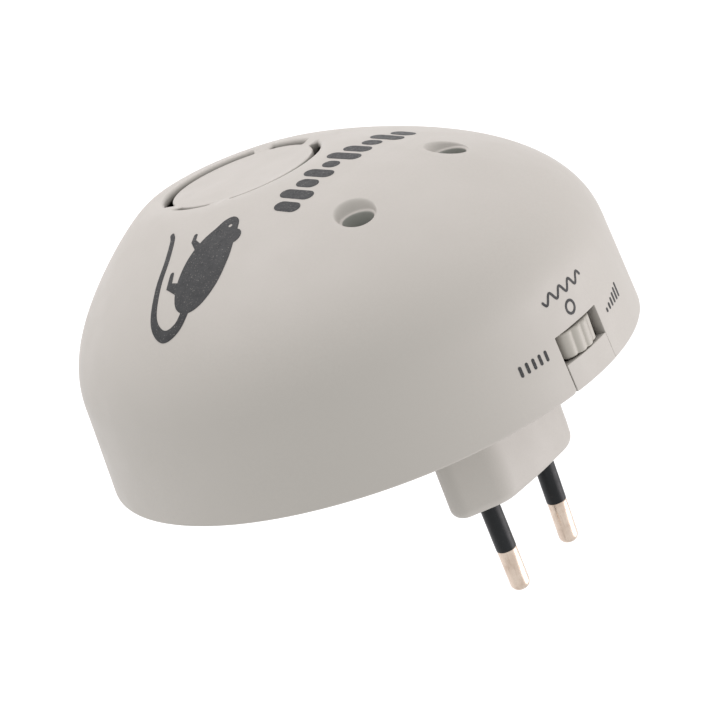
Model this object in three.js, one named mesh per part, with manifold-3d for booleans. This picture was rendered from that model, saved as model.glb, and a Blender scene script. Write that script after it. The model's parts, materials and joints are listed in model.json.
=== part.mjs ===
// Plug-in ultrasonic pest repeller: a domed front shell over a back cover that carries a
// two-pin mains plug, the circuit board and a three-position slide switch. A piezo tweeter
// behind four curved slots in the front sends the sound out.
//
// Millimetres. The origin is the centre of the plug block's seating face. +Y points into
// the wall socket, +Z is up, and +X is right as seen from the room. Depths inside the
// housing are heights h above the rim plane, measured from the wall towards the room.
import * as THREE from 'three';
import { mergeVertices } from 'three/addons/utils/BufferGeometryUtils.js';
import Module from 'manifold-3d';

const wasm = await Module();
wasm.setup();

// ---------------------------------------------------------------- driving dimensions

const GAP = 0.3; // clearance between pieces that touch
const RIM_Y = -19.9; // plane of the dome's open rim
const WALL = 2.2; // housing wall

const DOME = {
  halfWidth: 53.65, // rim, along X
  halfHeight: 55.2, // rim, along Z
  centreZ: -26.9,
  draft: THREE.MathUtils.degToRad(3.75),
  sideHeight: 17.5, // nearly straight side before the shoulder starts
  height: 47.7,
  crownRadius: 18.5, // flat crown around the sound disc
  crownDrop: 13, // how far the crown sits below the rim's centre
  dropPower: 6.1,
  shoulderIn: 2 / 1.23, // powers of the shoulder's superellipse
  shoulderOut: 2 / 2.09,
};

const SOUND = { z: -39.3, discRadius: 14.5, slotRadius: 16.2, bridge: 11, bridgeAt: 25 };
const WELL = {
  x: 14.7,
  bore: 3.0,
  mouth: 4.2, // radius of the dish where it meets the dome
  mouthDepth: 1.5,
  mouthH: 41.6,
  flare: 1.6, // how much the dish still widens above the dome
  seatH: 26.2,
  seat: 2,
  hole: 1.8,
  tube: 4.6,
};
const SWITCH = {
  h: 8.2, // centre height of the knob
  halfWidth: 6.7,
  lowH: 5.6,
  highH: 11.0,
  travel: 1.5,
  knobHalf: 4.85,
  knobDepth: 4.9,
  crownZ: 28.45,
  crownDrop: 1.7, // how far the knob's arch falls to its ends
  groove: 0.4,
  frameTop: 20.5,
  stemHalf: 2.4,
  stemDepth: 1.2,
  stemTop: 25.4,
};
const TOP_SIDE = [15, 40]; // span of Z that holds the switch's side of the dome
const COVER = { low: 0.2, high: 2.2, lip: 5.0, lipWall: 1.4, boss: 2.6, pilot: 1.3 };
const LABEL = { halfX: 20, halfZ: 11, corner: 2, z: -50, depth: 0.3 };
const NOSE = { tipX: 18.5, shoulderX: 9.9, halfHeight: 7.65, bulge: 0.43, corner: 2.6, edge: 2.1 };
const FLANGE = { x: 20.7, z: 9.3, low: 2.5, high: 5.0 };
const POST = { radius: 3.2, pilot: 1.6, footH: 4, topH: 23.9, pilotH: 8 };
const PIN = {
  x: 9.3,
  tipX: 8.75,
  length: 20,
  radius: 1.95,
  core: 1.35, // where the sleeve is moulded round it
  root: -14.7,
  inner: -19,
  channel: 2.3, // radius of the way for the pin through the plug block
  channelEnd: -16.5,
};
const PLUG_HOLLOW = { pinX: 11.5, pinZ: 4.6, pinY: -15, coreX: 5.6, coreZ: 4.2, coreY: -3 };
const SLEEVE = { low: -6, high: 11, radius: 2.0, bore: 1.55 };
const BOARD = { low: 3.7, high: 5.3, windowX: 21.5, windowZ: 9.9, hole: 1.4 };
const BOARD_FIXINGS = [[-29, 7], [29, 7], [-27, -54], [27, -54]];
const TWEETER = {
  radius: 17.2,
  low: 35.0,
  high: 44.6,
  wall: 1.3,
  floor: 1.4,
  ear: 2.8,
  earX: 21.3,
  pilot: 1.3, // screw pilot in the shell's ears
  collarLow: 37,
  collarWall: 1.8,
  leadX: 5,
};

// ---------------------------------------------------------------- materials

function material(color, roughness, metalness = 0) {
  return new THREE.MeshStandardMaterial({ color, roughness, metalness });
}

const housingPlastic = material(0xcfcac4, 0.55);
const blackPlastic = material(0x1d1e20, 0.5);
const nickel = material(0xc9b9a8, 0.32, 1);
const steel = material(0xa9abad, 0.38, 1);
const brass = material(0xb5965a, 0.35, 1);
const copper = material(0xb87a4c, 0.4, 1);
const boardLaminate = material(0x8a6a3c, 0.6);
const yellowPlastic = material(0xd9b53a, 0.5);
const sleeveBlue = material(0x23304f, 0.4);
const resistorTan = material(0xc9ad84, 0.6);
const ceramicBuff = material(0xb88a55, 0.65);
const ceramicWhite = material(0xe4e0d6, 0.5);
const ferrite = material(0x3a3a3d, 0.7);
const coneGrey = material(0x2e2e31, 0.7);
const foam = material(0x3b3b3b, 0.95);
const redPvc = material(0xa8332b, 0.5);
const bluePvc = material(0x2f5c9c, 0.5);
const brownPvc = material(0x5c3b26, 0.5);
const blackPvc = material(0x1b1b1b, 0.5);

// ---------------------------------------------------------------- solids

// Merge a geometry's vertices, drop its collapsed triangles and turn it outside out.
function closedTriangles(source) {
  const bare = source.clone();
  bare.deleteAttribute('normal');
  bare.deleteAttribute('uv');
  const merged = mergeVertices(bare, 1e-4);
  const points = merged.attributes.position.array;
  const index = merged.index.array;
  const triangles = [];
  let volume = 0;
  const corner = [new THREE.Vector3(), new THREE.Vector3(), new THREE.Vector3()];
  for (let i = 0; i < index.length; i += 3) {
    const [a, b, c] = [index[i], index[i + 1], index[i + 2]];
    if (a === b || b === c || c === a) continue;
    triangles.push(a, b, c);
    [a, b, c].forEach((v, k) => corner[k].fromArray(points, v * 3));
    volume += corner[0].dot(corner[1].cross(corner[2]));
  }
  if (volume < 0) triangles.reverse();
  return { points: Float32Array.from(points), triangles: Uint32Array.from(triangles) };
}

function solid(geometry) {
  const { points, triangles } = closedTriangles(geometry);
  const mesh = new wasm.Mesh({ numProp: 3, vertProperties: points, triVerts: triangles });
  return new wasm.Manifold(mesh);
}

function geometryOf(body) {
  const mesh = body.getMesh();
  const geometry = new THREE.BufferGeometry();
  geometry.setAttribute('position', new THREE.BufferAttribute(mesh.vertProperties, 3));
  geometry.setIndex(new THREE.BufferAttribute(mesh.triVerts, 1));
  geometry.computeVertexNormals();
  return geometry;
}

function join(first, ...others) {
  return others.reduce((whole, piece) => whole.add(piece), first);
}

function cut(first, ...others) {
  return others.reduce((whole, piece) => whole.subtract(piece), first);
}

const yAt = (h) => RIM_Y - h;

// A box between two corners given as [x, y, z].
function box(low, high) {
  const size = high.map((value, i) => value - low[i]);
  const middle = high.map((value, i) => (value + low[i]) / 2);
  return solid(new THREE.BoxGeometry(...size).translate(...middle));
}

// The same with depths given as heights above the rim plane.
function boxH(x0, x1, h0, h1, z0, z1) {
  return box([x0, yAt(h1), z0], [x1, yAt(h0), z1]);
}

// A turned solid about a line parallel to Y; the profile is a list of [radius, y].
function turned(profile, x = 0, z = 0, segments = 20) {
  const points = profile.map(([radius, y]) => new THREE.Vector2(radius, y));
  return solid(new THREE.LatheGeometry(points, segments).translate(x, 0, z));
}

function rod(radius, y0, y1, x = 0, z = 0, segments = 20) {
  return turned([[0, y0], [radius, y0], [radius, y1], [0, y1]], x, z, segments);
}

function rodH(radius, h0, h1, x = 0, z = 0, segments = 20) {
  return rod(radius, yAt(h1), yAt(h0), x, z, segments);
}

function ringH(inner, outer, h0, h1, x, z, segments = 32) {
  return cut(rodH(outer, h0, h1, x, z, segments), rodH(inner, h0 - 1, h1 + 1, x, z, segments));
}

// A plate cut from a shape drawn in X and Z, standing from height h0 to h1.
function plate(shape, h0, h1, curveSegments = 6) {
  const options = { depth: h1 - h0, bevelEnabled: false, curveSegments };
  const geometry = new THREE.ExtrudeGeometry(shape, options);
  return solid(geometry.rotateX(Math.PI / 2).translate(0, yAt(h0), 0));
}

// A convex outline with rounded corners; the points are the corner arcs' centres in
// anticlockwise order, and each arc is drawn in `steps` chords.
function roundedPoints(centres, radius, steps = 4) {
  return centres.flatMap(([x, z], i) => {
    const [px, pz] = centres.at(i - 1);
    const [nx, nz] = centres[(i + 1) % centres.length];
    const start = Math.atan2(z - pz, x - px) - Math.PI / 2;
    const turn = Math.atan2(nz - z, nx - x) - Math.PI / 2 - start;
    const sweep = THREE.MathUtils.euclideanModulo(turn, 2 * Math.PI);
    return Array.from({ length: steps + 1 }, (_, k) => {
      const angle = start + sweep * k / steps;
      return new THREE.Vector2(x + radius * Math.cos(angle), z + radius * Math.sin(angle));
    });
  });
}

function roundedRectangle(halfX, halfZ, radius, x = 0, z = 0) {
  const [a, b] = [halfX - radius, halfZ - radius];
  const centres = [[a, -b], [a, b], [-a, b], [-a, -b]].map(([cx, cz]) => [x + cx, z + cz]);
  return new THREE.Shape(roundedPoints(centres, radius));
}

// A closed solid skinned over a stack of rings that have equal numbers of points.
function skin(rings) {
  const levels = rings.length + 2;
  const profile = Array.from({ length: levels }, (_, i) => new THREE.Vector2(1, i));
  const geometry = new THREE.LatheGeometry(profile, rings[0].length);
  const ends = [rings[0], rings.at(-1)].map((ring) => {
    return ring.reduce((sum, p) => sum.add(p), new THREE.Vector3()).divideScalar(ring.length);
  });
  const position = geometry.attributes.position;
  for (let k = 0; k < position.count; k += 1) {
    const level = k % levels;
    const around = Math.floor(k / levels) % rings[0].length;
    const inside = level > 0 && level < levels - 1;
    const point = inside ? rings[level - 1][around] : ends[level === 0 ? 0 : 1];
    position.setXYZ(k, point.x, point.y, point.z);
  }
  return solid(geometry);
}

// ---------------------------------------------------------------- the dome

// The dome's half section: s runs 0 to 1 up the side, 1 to 2 over the shoulder.
function domeSection(s) {
  const sideSlope = Math.tan(DOME.draft) / DOME.halfWidth;
  if (s <= 1) {
    const h = DOME.sideHeight * s;
    return { h, scale: 1 - sideSlope * h };
  }
  const angle = (Math.min(s, 2) - 1) * Math.PI / 2;
  const crown = DOME.crownRadius / DOME.halfWidth;
  const side = 1 - sideSlope * DOME.sideHeight;
  const inward = Math.max(Math.cos(angle), 0) ** DOME.shoulderIn;
  const upward = Math.sin(angle) ** DOME.shoulderOut;
  const h = DOME.sideHeight + (DOME.height - DOME.sideHeight) * upward;
  return { h, scale: crown + (side - crown) * inward };
}

function domePoint(s, angle) {
  const { h, scale } = domeSection(s);
  const centreZ = DOME.centreZ - DOME.crownDrop * (h / DOME.height) ** DOME.dropPower;
  return new THREE.Vector3(
    DOME.halfWidth * scale * Math.cos(angle),
    yAt(h),
    centreZ + DOME.halfHeight * scale * Math.sin(angle),
  );
}

// The surface point pushed in along its normal; the crown's edge points straight out.
function domeInset(s, angle, inset) {
  const point = domePoint(s, angle);
  if (inset === 0) return point;
  const step = 0.01;
  const inner = s > 2 - step ? new THREE.Vector3(0, -1, 0) : domeNormal(s, angle, step);
  return point.addScaledVector(inner, -inset);
}

function domeNormal(s, angle, step) {
  const along = domePoint(s + step, angle).sub(domePoint(Math.max(s - step, 0), angle));
  const around = domePoint(s, angle + step).sub(domePoint(s, angle - step));
  return around.cross(along).normalize();
}

// The solid under the dome's surface, or under the surface set in by a wall. `below`
// lengthens it past the rim plane.
function domeSolid(inset, below, segments, shoulderLevels) {
  const levels = [0, 1];
  for (let i = 1; i <= shoulderLevels; i += 1) levels.push(1 + (i / shoulderLevels) ** 0.9);
  const rings = levels.map((s) => Array.from({ length: segments }, (_, i) => {
    return domeInset(s, 2 * Math.PI * i / segments, inset);
  }));
  const base = rings[0].map((point) => point.clone().setY(RIM_Y + below));
  return skin(below > 0 ? [base, ...rings] : rings);
}

const outerDome = domeSolid(0, 0, 48, 9);
const innerDome = domeSolid(WALL, 1, 32, 6);

// ---------------------------------------------------------------- front shell

// A curved slot between two angles in degrees, beside the sound disc.
function soundSlot(fromDeg, toDeg) {
  const [from, to] = [fromDeg, toDeg].map(THREE.MathUtils.degToRad);
  const shape = new THREE.Shape();
  shape.absarc(0, SOUND.z, SOUND.slotRadius, from, to, false);
  shape.absarc(0, SOUND.z, SOUND.discRadius, to, from, true);
  return plate(shape, DOME.height - WALL - 2, DOME.height + 1, Math.ceil((toDeg - fromDeg) / 24));
}

function soundSlots() {
  const { bridge, bridgeAt } = SOUND;
  const edges = [-bridgeAt, bridgeAt, 180 - bridgeAt, 180 + bridgeAt, 360 - bridgeAt];
  return edges.slice(1).map((to, i) => soundSlot(edges[i] + bridge / 2, to - bridge / 2));
}

function screwWellCut(x) {
  const [mouth, bore] = [WELL.mouth, WELL.bore];
  const surface = yAt(WELL.mouthH);
  const above = 4;
  const profile = [
    [0, surface - above], [mouth + WELL.flare, surface - above], [mouth, surface],
    [bore, surface + WELL.mouthDepth], [bore, yAt(WELL.seatH)], [0, yAt(WELL.seatH)],
  ];
  const hole = rodH(WELL.hole, WELL.seatH - WELL.seat - 1, WELL.seatH + 1, x);
  return join(turned(profile, x), hole);
}

function frontShell() {
  const sides = [-1, 1];
  const foot = WELL.seatH - WELL.seat;
  const tubes = sides.map((s) => rodH(WELL.tube, foot, DOME.height, s * WELL.x, 0, 14));
  const ears = sides.map((s) => {
    return rodH(TWEETER.ear, TWEETER.collarLow, DOME.height, s * TWEETER.earX, SOUND.z, 10);
  });
  const inner = TWEETER.radius + GAP + 0.1;
  const outer = inner + TWEETER.collarWall;
  const collar = ringH(inner, outer, TWEETER.collarLow, DOME.height, 0, SOUND.z, 28);
  const inside = join(...tubes, collar, ...ears).intersect(outerDome);
  const pilots = sides.map((s) => {
    return rodH(TWEETER.pilot, TWEETER.collarLow - 1, 42, s * TWEETER.earX, SOUND.z, 8);
  });
  const opening = boxH(-SWITCH.halfWidth, SWITCH.halfWidth, -2, SWITCH.highH, ...TOP_SIDE);
  const bores = sides.map((s) => screwWellCut(s * WELL.x));
  const shell = join(cut(outerDome, innerDome), cut(inside, ...pilots));
  const airway = rodH(inner, TWEETER.collarLow - 1, DOME.height - WALL, 0, SOUND.z, 28);
  return cut(shell, airway, opening, ...bores, ...soundSlots());
}

// ---------------------------------------------------------------- back cover

function ellipse(inset) {
  const shape = new THREE.Shape();
  const [a, b] = [DOME.halfWidth - inset, DOME.halfHeight - inset];
  shape.absellipse(0, DOME.centreZ, a, b, 0, 2 * Math.PI, false, 0);
  return shape;
}

// The tongue that closes the switch's slot from behind, flush with the dome.
function switchTongue() {
  const half = SWITCH.halfWidth - GAP;
  const skin = cut(outerDome, innerDome);
  const face = skin.intersect(boxH(-half, half, COVER.low, SWITCH.lowH - 0.2, ...TOP_SIDE));
  const web = boxH(-half, half, COVER.low, COVER.high, ...TOP_SIDE).intersect(outerDome);
  return join(face, web);
}

function boardBosses() {
  const boss = ([x, z]) => rodH(COVER.boss, COVER.high - 0.5, BOARD.low - GAP, x, z, 10);
  return BOARD_FIXINGS.map(boss);
}

function backCover() {
  const edge = WALL + 0.5;
  const floor = plate(ellipse(edge), COVER.low, COVER.high, 24);
  const lip = cut(
    plate(ellipse(edge + 0.2), COVER.high - 0.5, COVER.lip, 24),
    plate(ellipse(edge + COVER.lipWall), COVER.high - 1, COVER.lip + 1, 24),
  );
  const window = plate(new THREE.Shape(nosePoints(GAP)), COVER.low - 1, COVER.high + 1);
  const pilots = BOARD_FIXINGS.map(([x, z]) => rodH(COVER.pilot, 0.9, 5, x, z, 8));
  const { halfX, halfZ, corner, z: labelZ, depth } = LABEL;
  const label = roundedRectangle(halfX, halfZ, corner, 0, labelZ);
  const labelPanel = plate(label, -1, COVER.low + depth);
  const knobWay = boxH(-SWITCH.halfWidth, SWITCH.halfWidth, COVER.high, COVER.lip + 1, 20, 24.5);
  const lipped = join(floor, cut(lip, knobWay), switchTongue(), ...boardBosses());
  return cut(lipped, window, labelPanel, ...pilots);
}

// ---------------------------------------------------------------- mains plug

function nosePoints(grow) {
  const { tipX, shoulderX, halfHeight, bulge, corner } = NOSE;
  const [tip, top] = [tipX - corner, halfHeight - corner];
  const half = [[tip, 0], [shoulderX, top], [0, top + bulge], [-shoulderX, top]];
  return roundedPoints([...half, ...half.map(([x, z]) => [-x, -z])], corner + grow, 3);
}

// The plug block: straight sides down to a rounded edge around the seating face.
function noseSolid() {
  const { edge } = NOSE;
  const roundSteps = 4;
  const levels = [[yAt(FLANGE.high), 0]];
  for (let i = 0; i <= roundSteps; i += 1) {
    const angle = i / roundSteps * Math.PI / 2;
    levels.push([edge * (Math.sin(angle) - 1), edge * (Math.cos(angle) - 1)]);
  }
  return skin(levels.map(([y, grow]) => {
    return nosePoints(grow).map((p) => new THREE.Vector3(p.x, y, p.y));
  }));
}

const pinLean = Math.atan((PIN.x - PIN.tipX) / PIN.length);

// Stand a geometry turned about the Y axis where a pin stands, leaning to its tip.
function alongPin(geometry, side) {
  return geometry.rotateZ(side * pinLean).translate(side * PIN.x, 0, 0);
}

function lathe(profile, segments = 20) {
  return new THREE.LatheGeometry(profile.map(([r, y]) => new THREE.Vector2(r, y)), segments);
}

function pinChannel(side) {
  const { channel, channelEnd } = PIN;
  const profile = [[0, channelEnd], [channel, channelEnd], [channel, 2], [0, 2]];
  return solid(alongPin(lathe(profile), side));
}

function plugBody() {
  const flange = plate(roundedRectangle(FLANGE.x, FLANGE.z, 3), FLANGE.low, FLANGE.high);
  const { radius, pilot, footH, topH, pilotH } = POST;
  const posts = [-WELL.x, WELL.x].map((x) => rodH(radius, footH, topH, x, 0, 16));
  const pilots = [-WELL.x, WELL.x].map((x) => rodH(pilot, pilotH, topH + 1, x, 0, 12));
  const { pinX, pinZ, pinY, coreX, coreZ, coreY } = PLUG_HOLLOW;
  const pinPocket = box([-pinX, yAt(FLANGE.high) - 1, -pinZ], [pinX, pinY, pinZ]);
  const core = box([-coreX, pinY - 0.5, -coreZ], [coreX, coreY, coreZ]);
  const channels = [-1, 1].map(pinChannel);
  return cut(join(noseSolid(), flange, ...posts), ...pilots, pinPocket, core, ...channels);
}

function pinGeometry() {
  const { length, radius, core, root, inner } = PIN;
  const [cup, cupBore, cupDepth] = [1.5, 0.95, 3.2];
  const shoulder = SLEEVE.high + 0.05;
  const collar = SLEEVE.low - GAP;
  const tip = [[0, length], [0.8, length - 0.15], [1.5, length - 0.65], [radius, length - 1.6]];
  return lathe([
    ...tip, [radius, shoulder], [core, shoulder], [core, collar], [radius, collar],
    [radius, root], [cup, root], [cup, inner], [cupBore, inner],
    [cupBore, inner + cupDepth], [0, inner + cupDepth],
  ], 14);
}

function sleeveGeometry() {
  const { low, high, radius, bore } = SLEEVE;
  return lathe([[bore, low], [radius, low], [radius, high], [bore, high], [bore, low]], 14);
}

// ---------------------------------------------------------------- screws

const RECESS = { reach: 1.5, half: 0.35, depth: 1.0 };

function crossRecess(x, z, faceH, towards) {
  const { reach, half, depth } = RECESS;
  const [low, high] = towards > 0 ? [faceH - depth, faceH + 1] : [faceH - 1, faceH + depth];
  return join(
    boxH(x - reach, x + reach, low, high, z - half, z + half),
    boxH(x - half, x + half, low, high, z - reach, z + reach),
  );
}

// A pan-head screw; `towards` is 1 where its head faces the room and -1 where it faces
// the wall.
function screw(x, z, headH, towards, size) {
  const { head, headHeight, shank, length } = size;
  const y = (along) => yAt(headH + towards * along);
  const profile = [
    [0, y(-length)], [shank * 0.4, y(-length)], [shank, y(-length + 1)], [shank, y(0)],
    [head, y(0)], [head * 0.8, y(headHeight)], [0, y(headHeight)],
  ];
  return cut(turned(profile, x, z, 10), crossRecess(x, z, headH + towards * headHeight, towards));
}

const HOUSING_SCREW = { head: 2.6, headHeight: 1.9, shank: 1.3, length: 15.5 };
const SMALL_SCREW = { head: 2.2, headHeight: 1.5, shank: 1.0, length: 4.2 };
const TWEETER_SCREW = { head: 2.2, headHeight: 1.5, shank: 1.0, length: 6.4 };

// ---------------------------------------------------------------- circuit board

function mainBoard() {
  const halfOutline = [[13, 20.5], [27, 13.5], [36, -2], [38, -20], [38, -42], [27, -60]];
  const mirrored = halfOutline.map(([x, z]) => [-x, z]).reverse();
  const shape = new THREE.Shape();
  [...mirrored, ...halfOutline].forEach(([x, z], i) => {
    if (i) shape.lineTo(x, z);
    else shape.moveTo(x, z);
  });
  const board = plate(shape, BOARD.low, BOARD.high);
  const window = plate(roundedRectangle(BOARD.windowX, BOARD.windowZ, 2), 0, 8, 3);
  const holes = BOARD_FIXINGS.map(([x, z]) => rodH(BOARD.hole, 0, 8, x, z, 10));
  return cut(board, window, ...holes);
}

const ON_BOARD = BOARD.high + GAP; // where components stand

// An axial component lying along X with both leads bent down to the board.
function axialPart(x, z, radius, halfLength, wire = 0.35) {
  const h = ON_BOARD + radius + 0.6;
  const reach = halfLength + 1.8;
  const body = [
    [0, -halfLength], [radius * 0.8, -halfLength], [radius, -halfLength + 0.5],
    [radius, halfLength - 0.5], [radius * 0.8, halfLength], [0, halfLength],
  ];
  const across = lathe(body, 10).rotateZ(Math.PI / 2).translate(x, yAt(h), z);
  const lead = new THREE.CylinderGeometry(wire, wire, 2 * reach, 6).rotateZ(Math.PI / 2);
  const legs = [-1, 1].map((s) => rodH(wire, ON_BOARD, h, x + s * (reach - wire), z, 6));
  return join(solid(across), solid(lead.translate(x, yAt(h), z)), ...legs);
}

function boxComponent(x, z, halfX, height, halfZ) {
  const [low, high] = [ON_BOARD, ON_BOARD + height];
  return plate(roundedRectangle(halfX, halfZ, 0.8, x, z), low, high, 2);
}

// A can on end, with the crimped groove that grips its rubber seal.
function canCapacitor(x, z, radius, height) {
  const y = (along) => yAt(ON_BOARD + along);
  return turned([
    [0, y(0)], [radius, y(0)], [radius, y(1)], [radius * 0.9, y(1.6)], [radius, y(2.2)],
    [radius, y(height - 0.4)], [radius * 0.92, y(height)], [0, y(height)],
  ], x, z, 14);
}

function discCapacitor(x, z) {
  const h = ON_BOARD + 4.6;
  const disc = new THREE.SphereGeometry(3, 10, 6).scale(1, 1, 0.35).translate(x, yAt(h), z);
  const legs = [-1.6, 1.6].map((dx) => rodH(0.3, ON_BOARD, h, x + dx, z, 6));
  return join(solid(disc), ...legs);
}

function timerChip(x, z) {
  const [halfLength, halfWidth, pitch] = [9.4, 3.2, 2.54];
  const legs = [];
  for (let i = -3; i <= 3; i += 1) {
    for (const side of [-1, 1]) {
      const [px, pz] = [x + i * pitch, z + side * halfWidth];
      legs.push(boxH(px - 0.3, px + 0.3, ON_BOARD, 8.0, pz - 0.25, pz + 0.25));
    }
  }
  const body = boxH(x - halfLength, x + halfLength, 6.3, 9.6, z - halfWidth, z + halfWidth);
  return join(body, ...legs);
}

function driverTransistor(x, z) {
  const shape = new THREE.Shape();
  shape.absarc(x, z, 2.4, -0.6, Math.PI + 0.6, false);
  const legs = [-1.27, 0, 1.27].map((dx) => rodH(0.28, ON_BOARD, 9, x + dx, z, 6));
  return join(plate(shape, 8.4, 13, 5), ...legs);
}

const COIL = { x: 22.5, z: -48, halfX: 6.8, halfZ: 3.2, height: 13, leg: 1.8, window: 3.0 };

// The ferrite core: a frame with a middle leg, standing on the board.
function transformerCore() {
  const { x, z, halfX, halfZ, height, leg, window } = COIL;
  const low = ON_BOARD;
  const windows = [-1, 1].map((s) => {
    const [near, far] = [x + s * leg, x + s * (leg + window)];
    const [x0, x1] = [Math.min(near, far), Math.max(near, far)];
    return boxH(x0, x1, low + 2, low + height - 2, z - 9, z + 9);
  });
  return cut(boxH(x - halfX, x + halfX, low, low + height, z - halfZ, z + halfZ), ...windows);
}

function transformerWinding() {
  const { x, z, halfZ, height, leg, window } = COIL;
  const [low, high] = [ON_BOARD + 2 + GAP, ON_BOARD + height - 2 - GAP];
  const outer = leg + window - GAP;
  const ring = plate(roundedRectangle(outer, halfZ + window - GAP, 1.6, x, z), low, high, 3);
  const middle = boxH(x - leg - GAP, x + leg + GAP, 0, 30, z - halfZ - GAP, z + halfZ + GAP);
  return cut(ring, middle);
}

// ---------------------------------------------------------------- slide switch

const FRAME = { halfX: 9.2, low: 5.6, high: 11.0, bottomZ: 14.6, sheet: 0.4 };

function switchFrame() {
  const { halfX, low, high, bottomZ, sheet } = FRAME;
  const top = SWITCH.frameTop;
  const can = boxH(-halfX, halfX, low, high, bottomZ, top);
  const inside = [low + sheet, high - sheet, bottomZ - 1, top - sheet];
  const hollow = boxH(-halfX + sheet, halfX - sheet, ...inside);
  const way = SWITCH.travel + SWITCH.stemHalf + GAP;
  const deep = SWITCH.stemDepth + GAP;
  const slot = boxH(-way, way, SWITCH.h - deep, SWITCH.h + deep, top - 1, top + 1);
  return cut(can, hollow, slot);
}

function switchBase() {
  const { halfX, low, high, bottomZ } = FRAME;
  const side = 0.7;
  return boxH(-halfX + side, halfX - side, low + side, high - side, bottomZ - 0.6, bottomZ + 0.6);
}

// One of the solder terminals under the base, bent forward to the board.
function switchTerminal(x) {
  const z = FRAME.bottomZ - 0.9;
  return join(
    boxH(x - 0.5, x + 0.5, 7.6, 8.8, z - 0.5, z),
    boxH(x - 0.5, x + 0.5, ON_BOARD, 8.2, z - 0.9, z - 0.4),
  );
}

function switchSlider() {
  const { low, high, bottomZ, sheet } = FRAME;
  const inside = [low + sheet + GAP, high - sheet - GAP];
  const carriageTop = SWITCH.frameTop - sheet - GAP;
  const carriageHalf = 5.2;
  const carriage = boxH(-carriageHalf, carriageHalf, ...inside, bottomZ + 2.4, carriageTop);
  const { h, stemHalf, stemDepth, stemTop } = SWITCH;
  const stem = boxH(-stemHalf, stemHalf, h - stemDepth, h + stemDepth, carriageTop - 1, stemTop);
  return join(carriage, stem);
}

function switchContact() {
  const { low, high, bottomZ } = FRAME;
  const strip = boxH(-4.4, 4.4, low + 1.4, high - 1.4, bottomZ + 1.7, bottomZ + 2.1);
  const points = [-3.2, 3.2].map((x) => {
    return boxH(x - 0.7, x + 0.7, low + 1.4, high - 1.4, bottomZ + 0.9, bottomZ + 1.9);
  });
  return join(strip, ...points);
}

// The knob's top: an arch across X with three grooves that leave four soft ribs.
function knobTop(x) {
  const across = x / SWITCH.knobHalf;
  const arch = SWITCH.crownDrop * across * across;
  const grooves = SWITCH.groove * (1 + Math.cos(across * Math.PI * 4)) / 2;
  return SWITCH.crownZ - arch - grooves;
}

function switchKnob() {
  const { knobHalf, knobDepth, h } = SWITCH;
  const foot = SWITCH.frameTop + GAP + 0.1;
  const shape = new THREE.Shape();
  shape.moveTo(-knobHalf, foot);
  shape.lineTo(knobHalf, foot);
  const steps = 32;
  for (let i = 0; i <= steps; i += 1) {
    const x = knobHalf * (1 - 2 * i / steps);
    shape.lineTo(x, knobTop(x));
  }
  const cap = plate(shape, h - knobDepth / 2, h + knobDepth / 2);
  const [pocketHalf, pocketDepth] = [SWITCH.stemHalf + 0.2, SWITCH.stemDepth + 0.2];
  const pocketTop = SWITCH.stemTop + GAP;
  const pocket = boxH(-pocketHalf, pocketHalf, h - pocketDepth, h + pocketDepth, foot - 1, pocketTop);
  return cut(cap, pocket);
}

// ---------------------------------------------------------------- piezo tweeter

function tweeterCase() {
  const { radius, low, high, wall, floor, ear, earX, leadX } = TWEETER;
  const [earTop, screwHole, leadHole] = [low + 1.6, 1.4, 1.2];
  const cup = cut(
    rodH(radius, low, high, 0, SOUND.z, 28),
    rodH(radius - wall, low + floor, high + 1, 0, SOUND.z, 28),
  );
  const strap = boxH(-earX, earX, low, earTop, SOUND.z - ear, SOUND.z + ear);
  const ears = [-earX, earX].map((x) => rodH(ear, low, earTop, x, SOUND.z, 14));
  const bars = cut(join(strap, ...ears), rodH(radius - wall, low - 1, high, 0, SOUND.z, 28));
  const screwHoles = [-earX, earX].map((x) => rodH(screwHole, low - 1, low + 3, x, SOUND.z, 10));
  const leadHoles = [-leadX, leadX].map((x) => rodH(leadHole, low - 1, low + 2, x, SOUND.z, 10));
  return cut(join(cup, bars), ...screwHoles, ...leadHoles);
}

const PIEZO = {
  foamRing: { inner: 12.5, outer: 15.6, low: 36.7, high: 39.2 },
  metalPlate: { radius: 12.2, low: 38.0, high: 38.3 },
  ceramic: { radius: 8.5, low: 37.3, high: 37.7 },
};

// The cone: a thin funnel from its neck on the metal plate out to the case's wall.
function tweeterCone() {
  const profile = [
    [2.2, yAt(38.6)], [2.6, yAt(38.6)], [6.5, yAt(40.4)], [14.4, yAt(43.6)],
    [14.4, yAt(44.0)], [6.3, yAt(40.8)], [2.2, yAt(39.1)], [2.2, yAt(38.6)],
  ];
  return turned(profile, 0, SOUND.z, 24);
}

// ---------------------------------------------------------------- leads

// A round wire through a list of [x, h, z].
function lead(route, radius = 0.75, steps = 14) {
  const points = route.map(([x, h, z]) => new THREE.Vector3(x, yAt(h), z));
  const curve = new THREE.CatmullRomCurve3(points);
  const section = new THREE.Shape();
  section.absarc(0, 0, radius, 0, 2 * Math.PI, false);
  const options = { steps, extrudePath: curve, bevelEnabled: false, curveSegments: 3 };
  return solid(new THREE.ExtrudeGeometry(section, options));
}

function mainsLead(side) {
  const cup = PIN.x - Math.tan(pinLean) * (PIN.inner + 1.5);
  return lead([
    [side * cup, -3.0, 0], [side * cup, 1.5, 0], [side * cup, 6.5, -2],
    [side * 9.3, 9.5, -7], [side * 8.5, 9.0, -11.5], [side * 8, ON_BOARD, -13.5],
  ]);
}

function tweeterLead(side) {
  return lead([
    [side * TWEETER.leadX, TWEETER.low + 1.2, SOUND.z],
    [side * TWEETER.leadX, TWEETER.low - 2, SOUND.z],
    [side * 5.5, 28, -43], [side * 6, 19, -50], [side * 6, 11, -55], [side * 6, ON_BOARD, -56],
  ], 0.6);
}

// ---------------------------------------------------------------- assembly

const repeller = new THREE.Group();
repeller.name = 'ultrasonic_pest_repeller';

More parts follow.
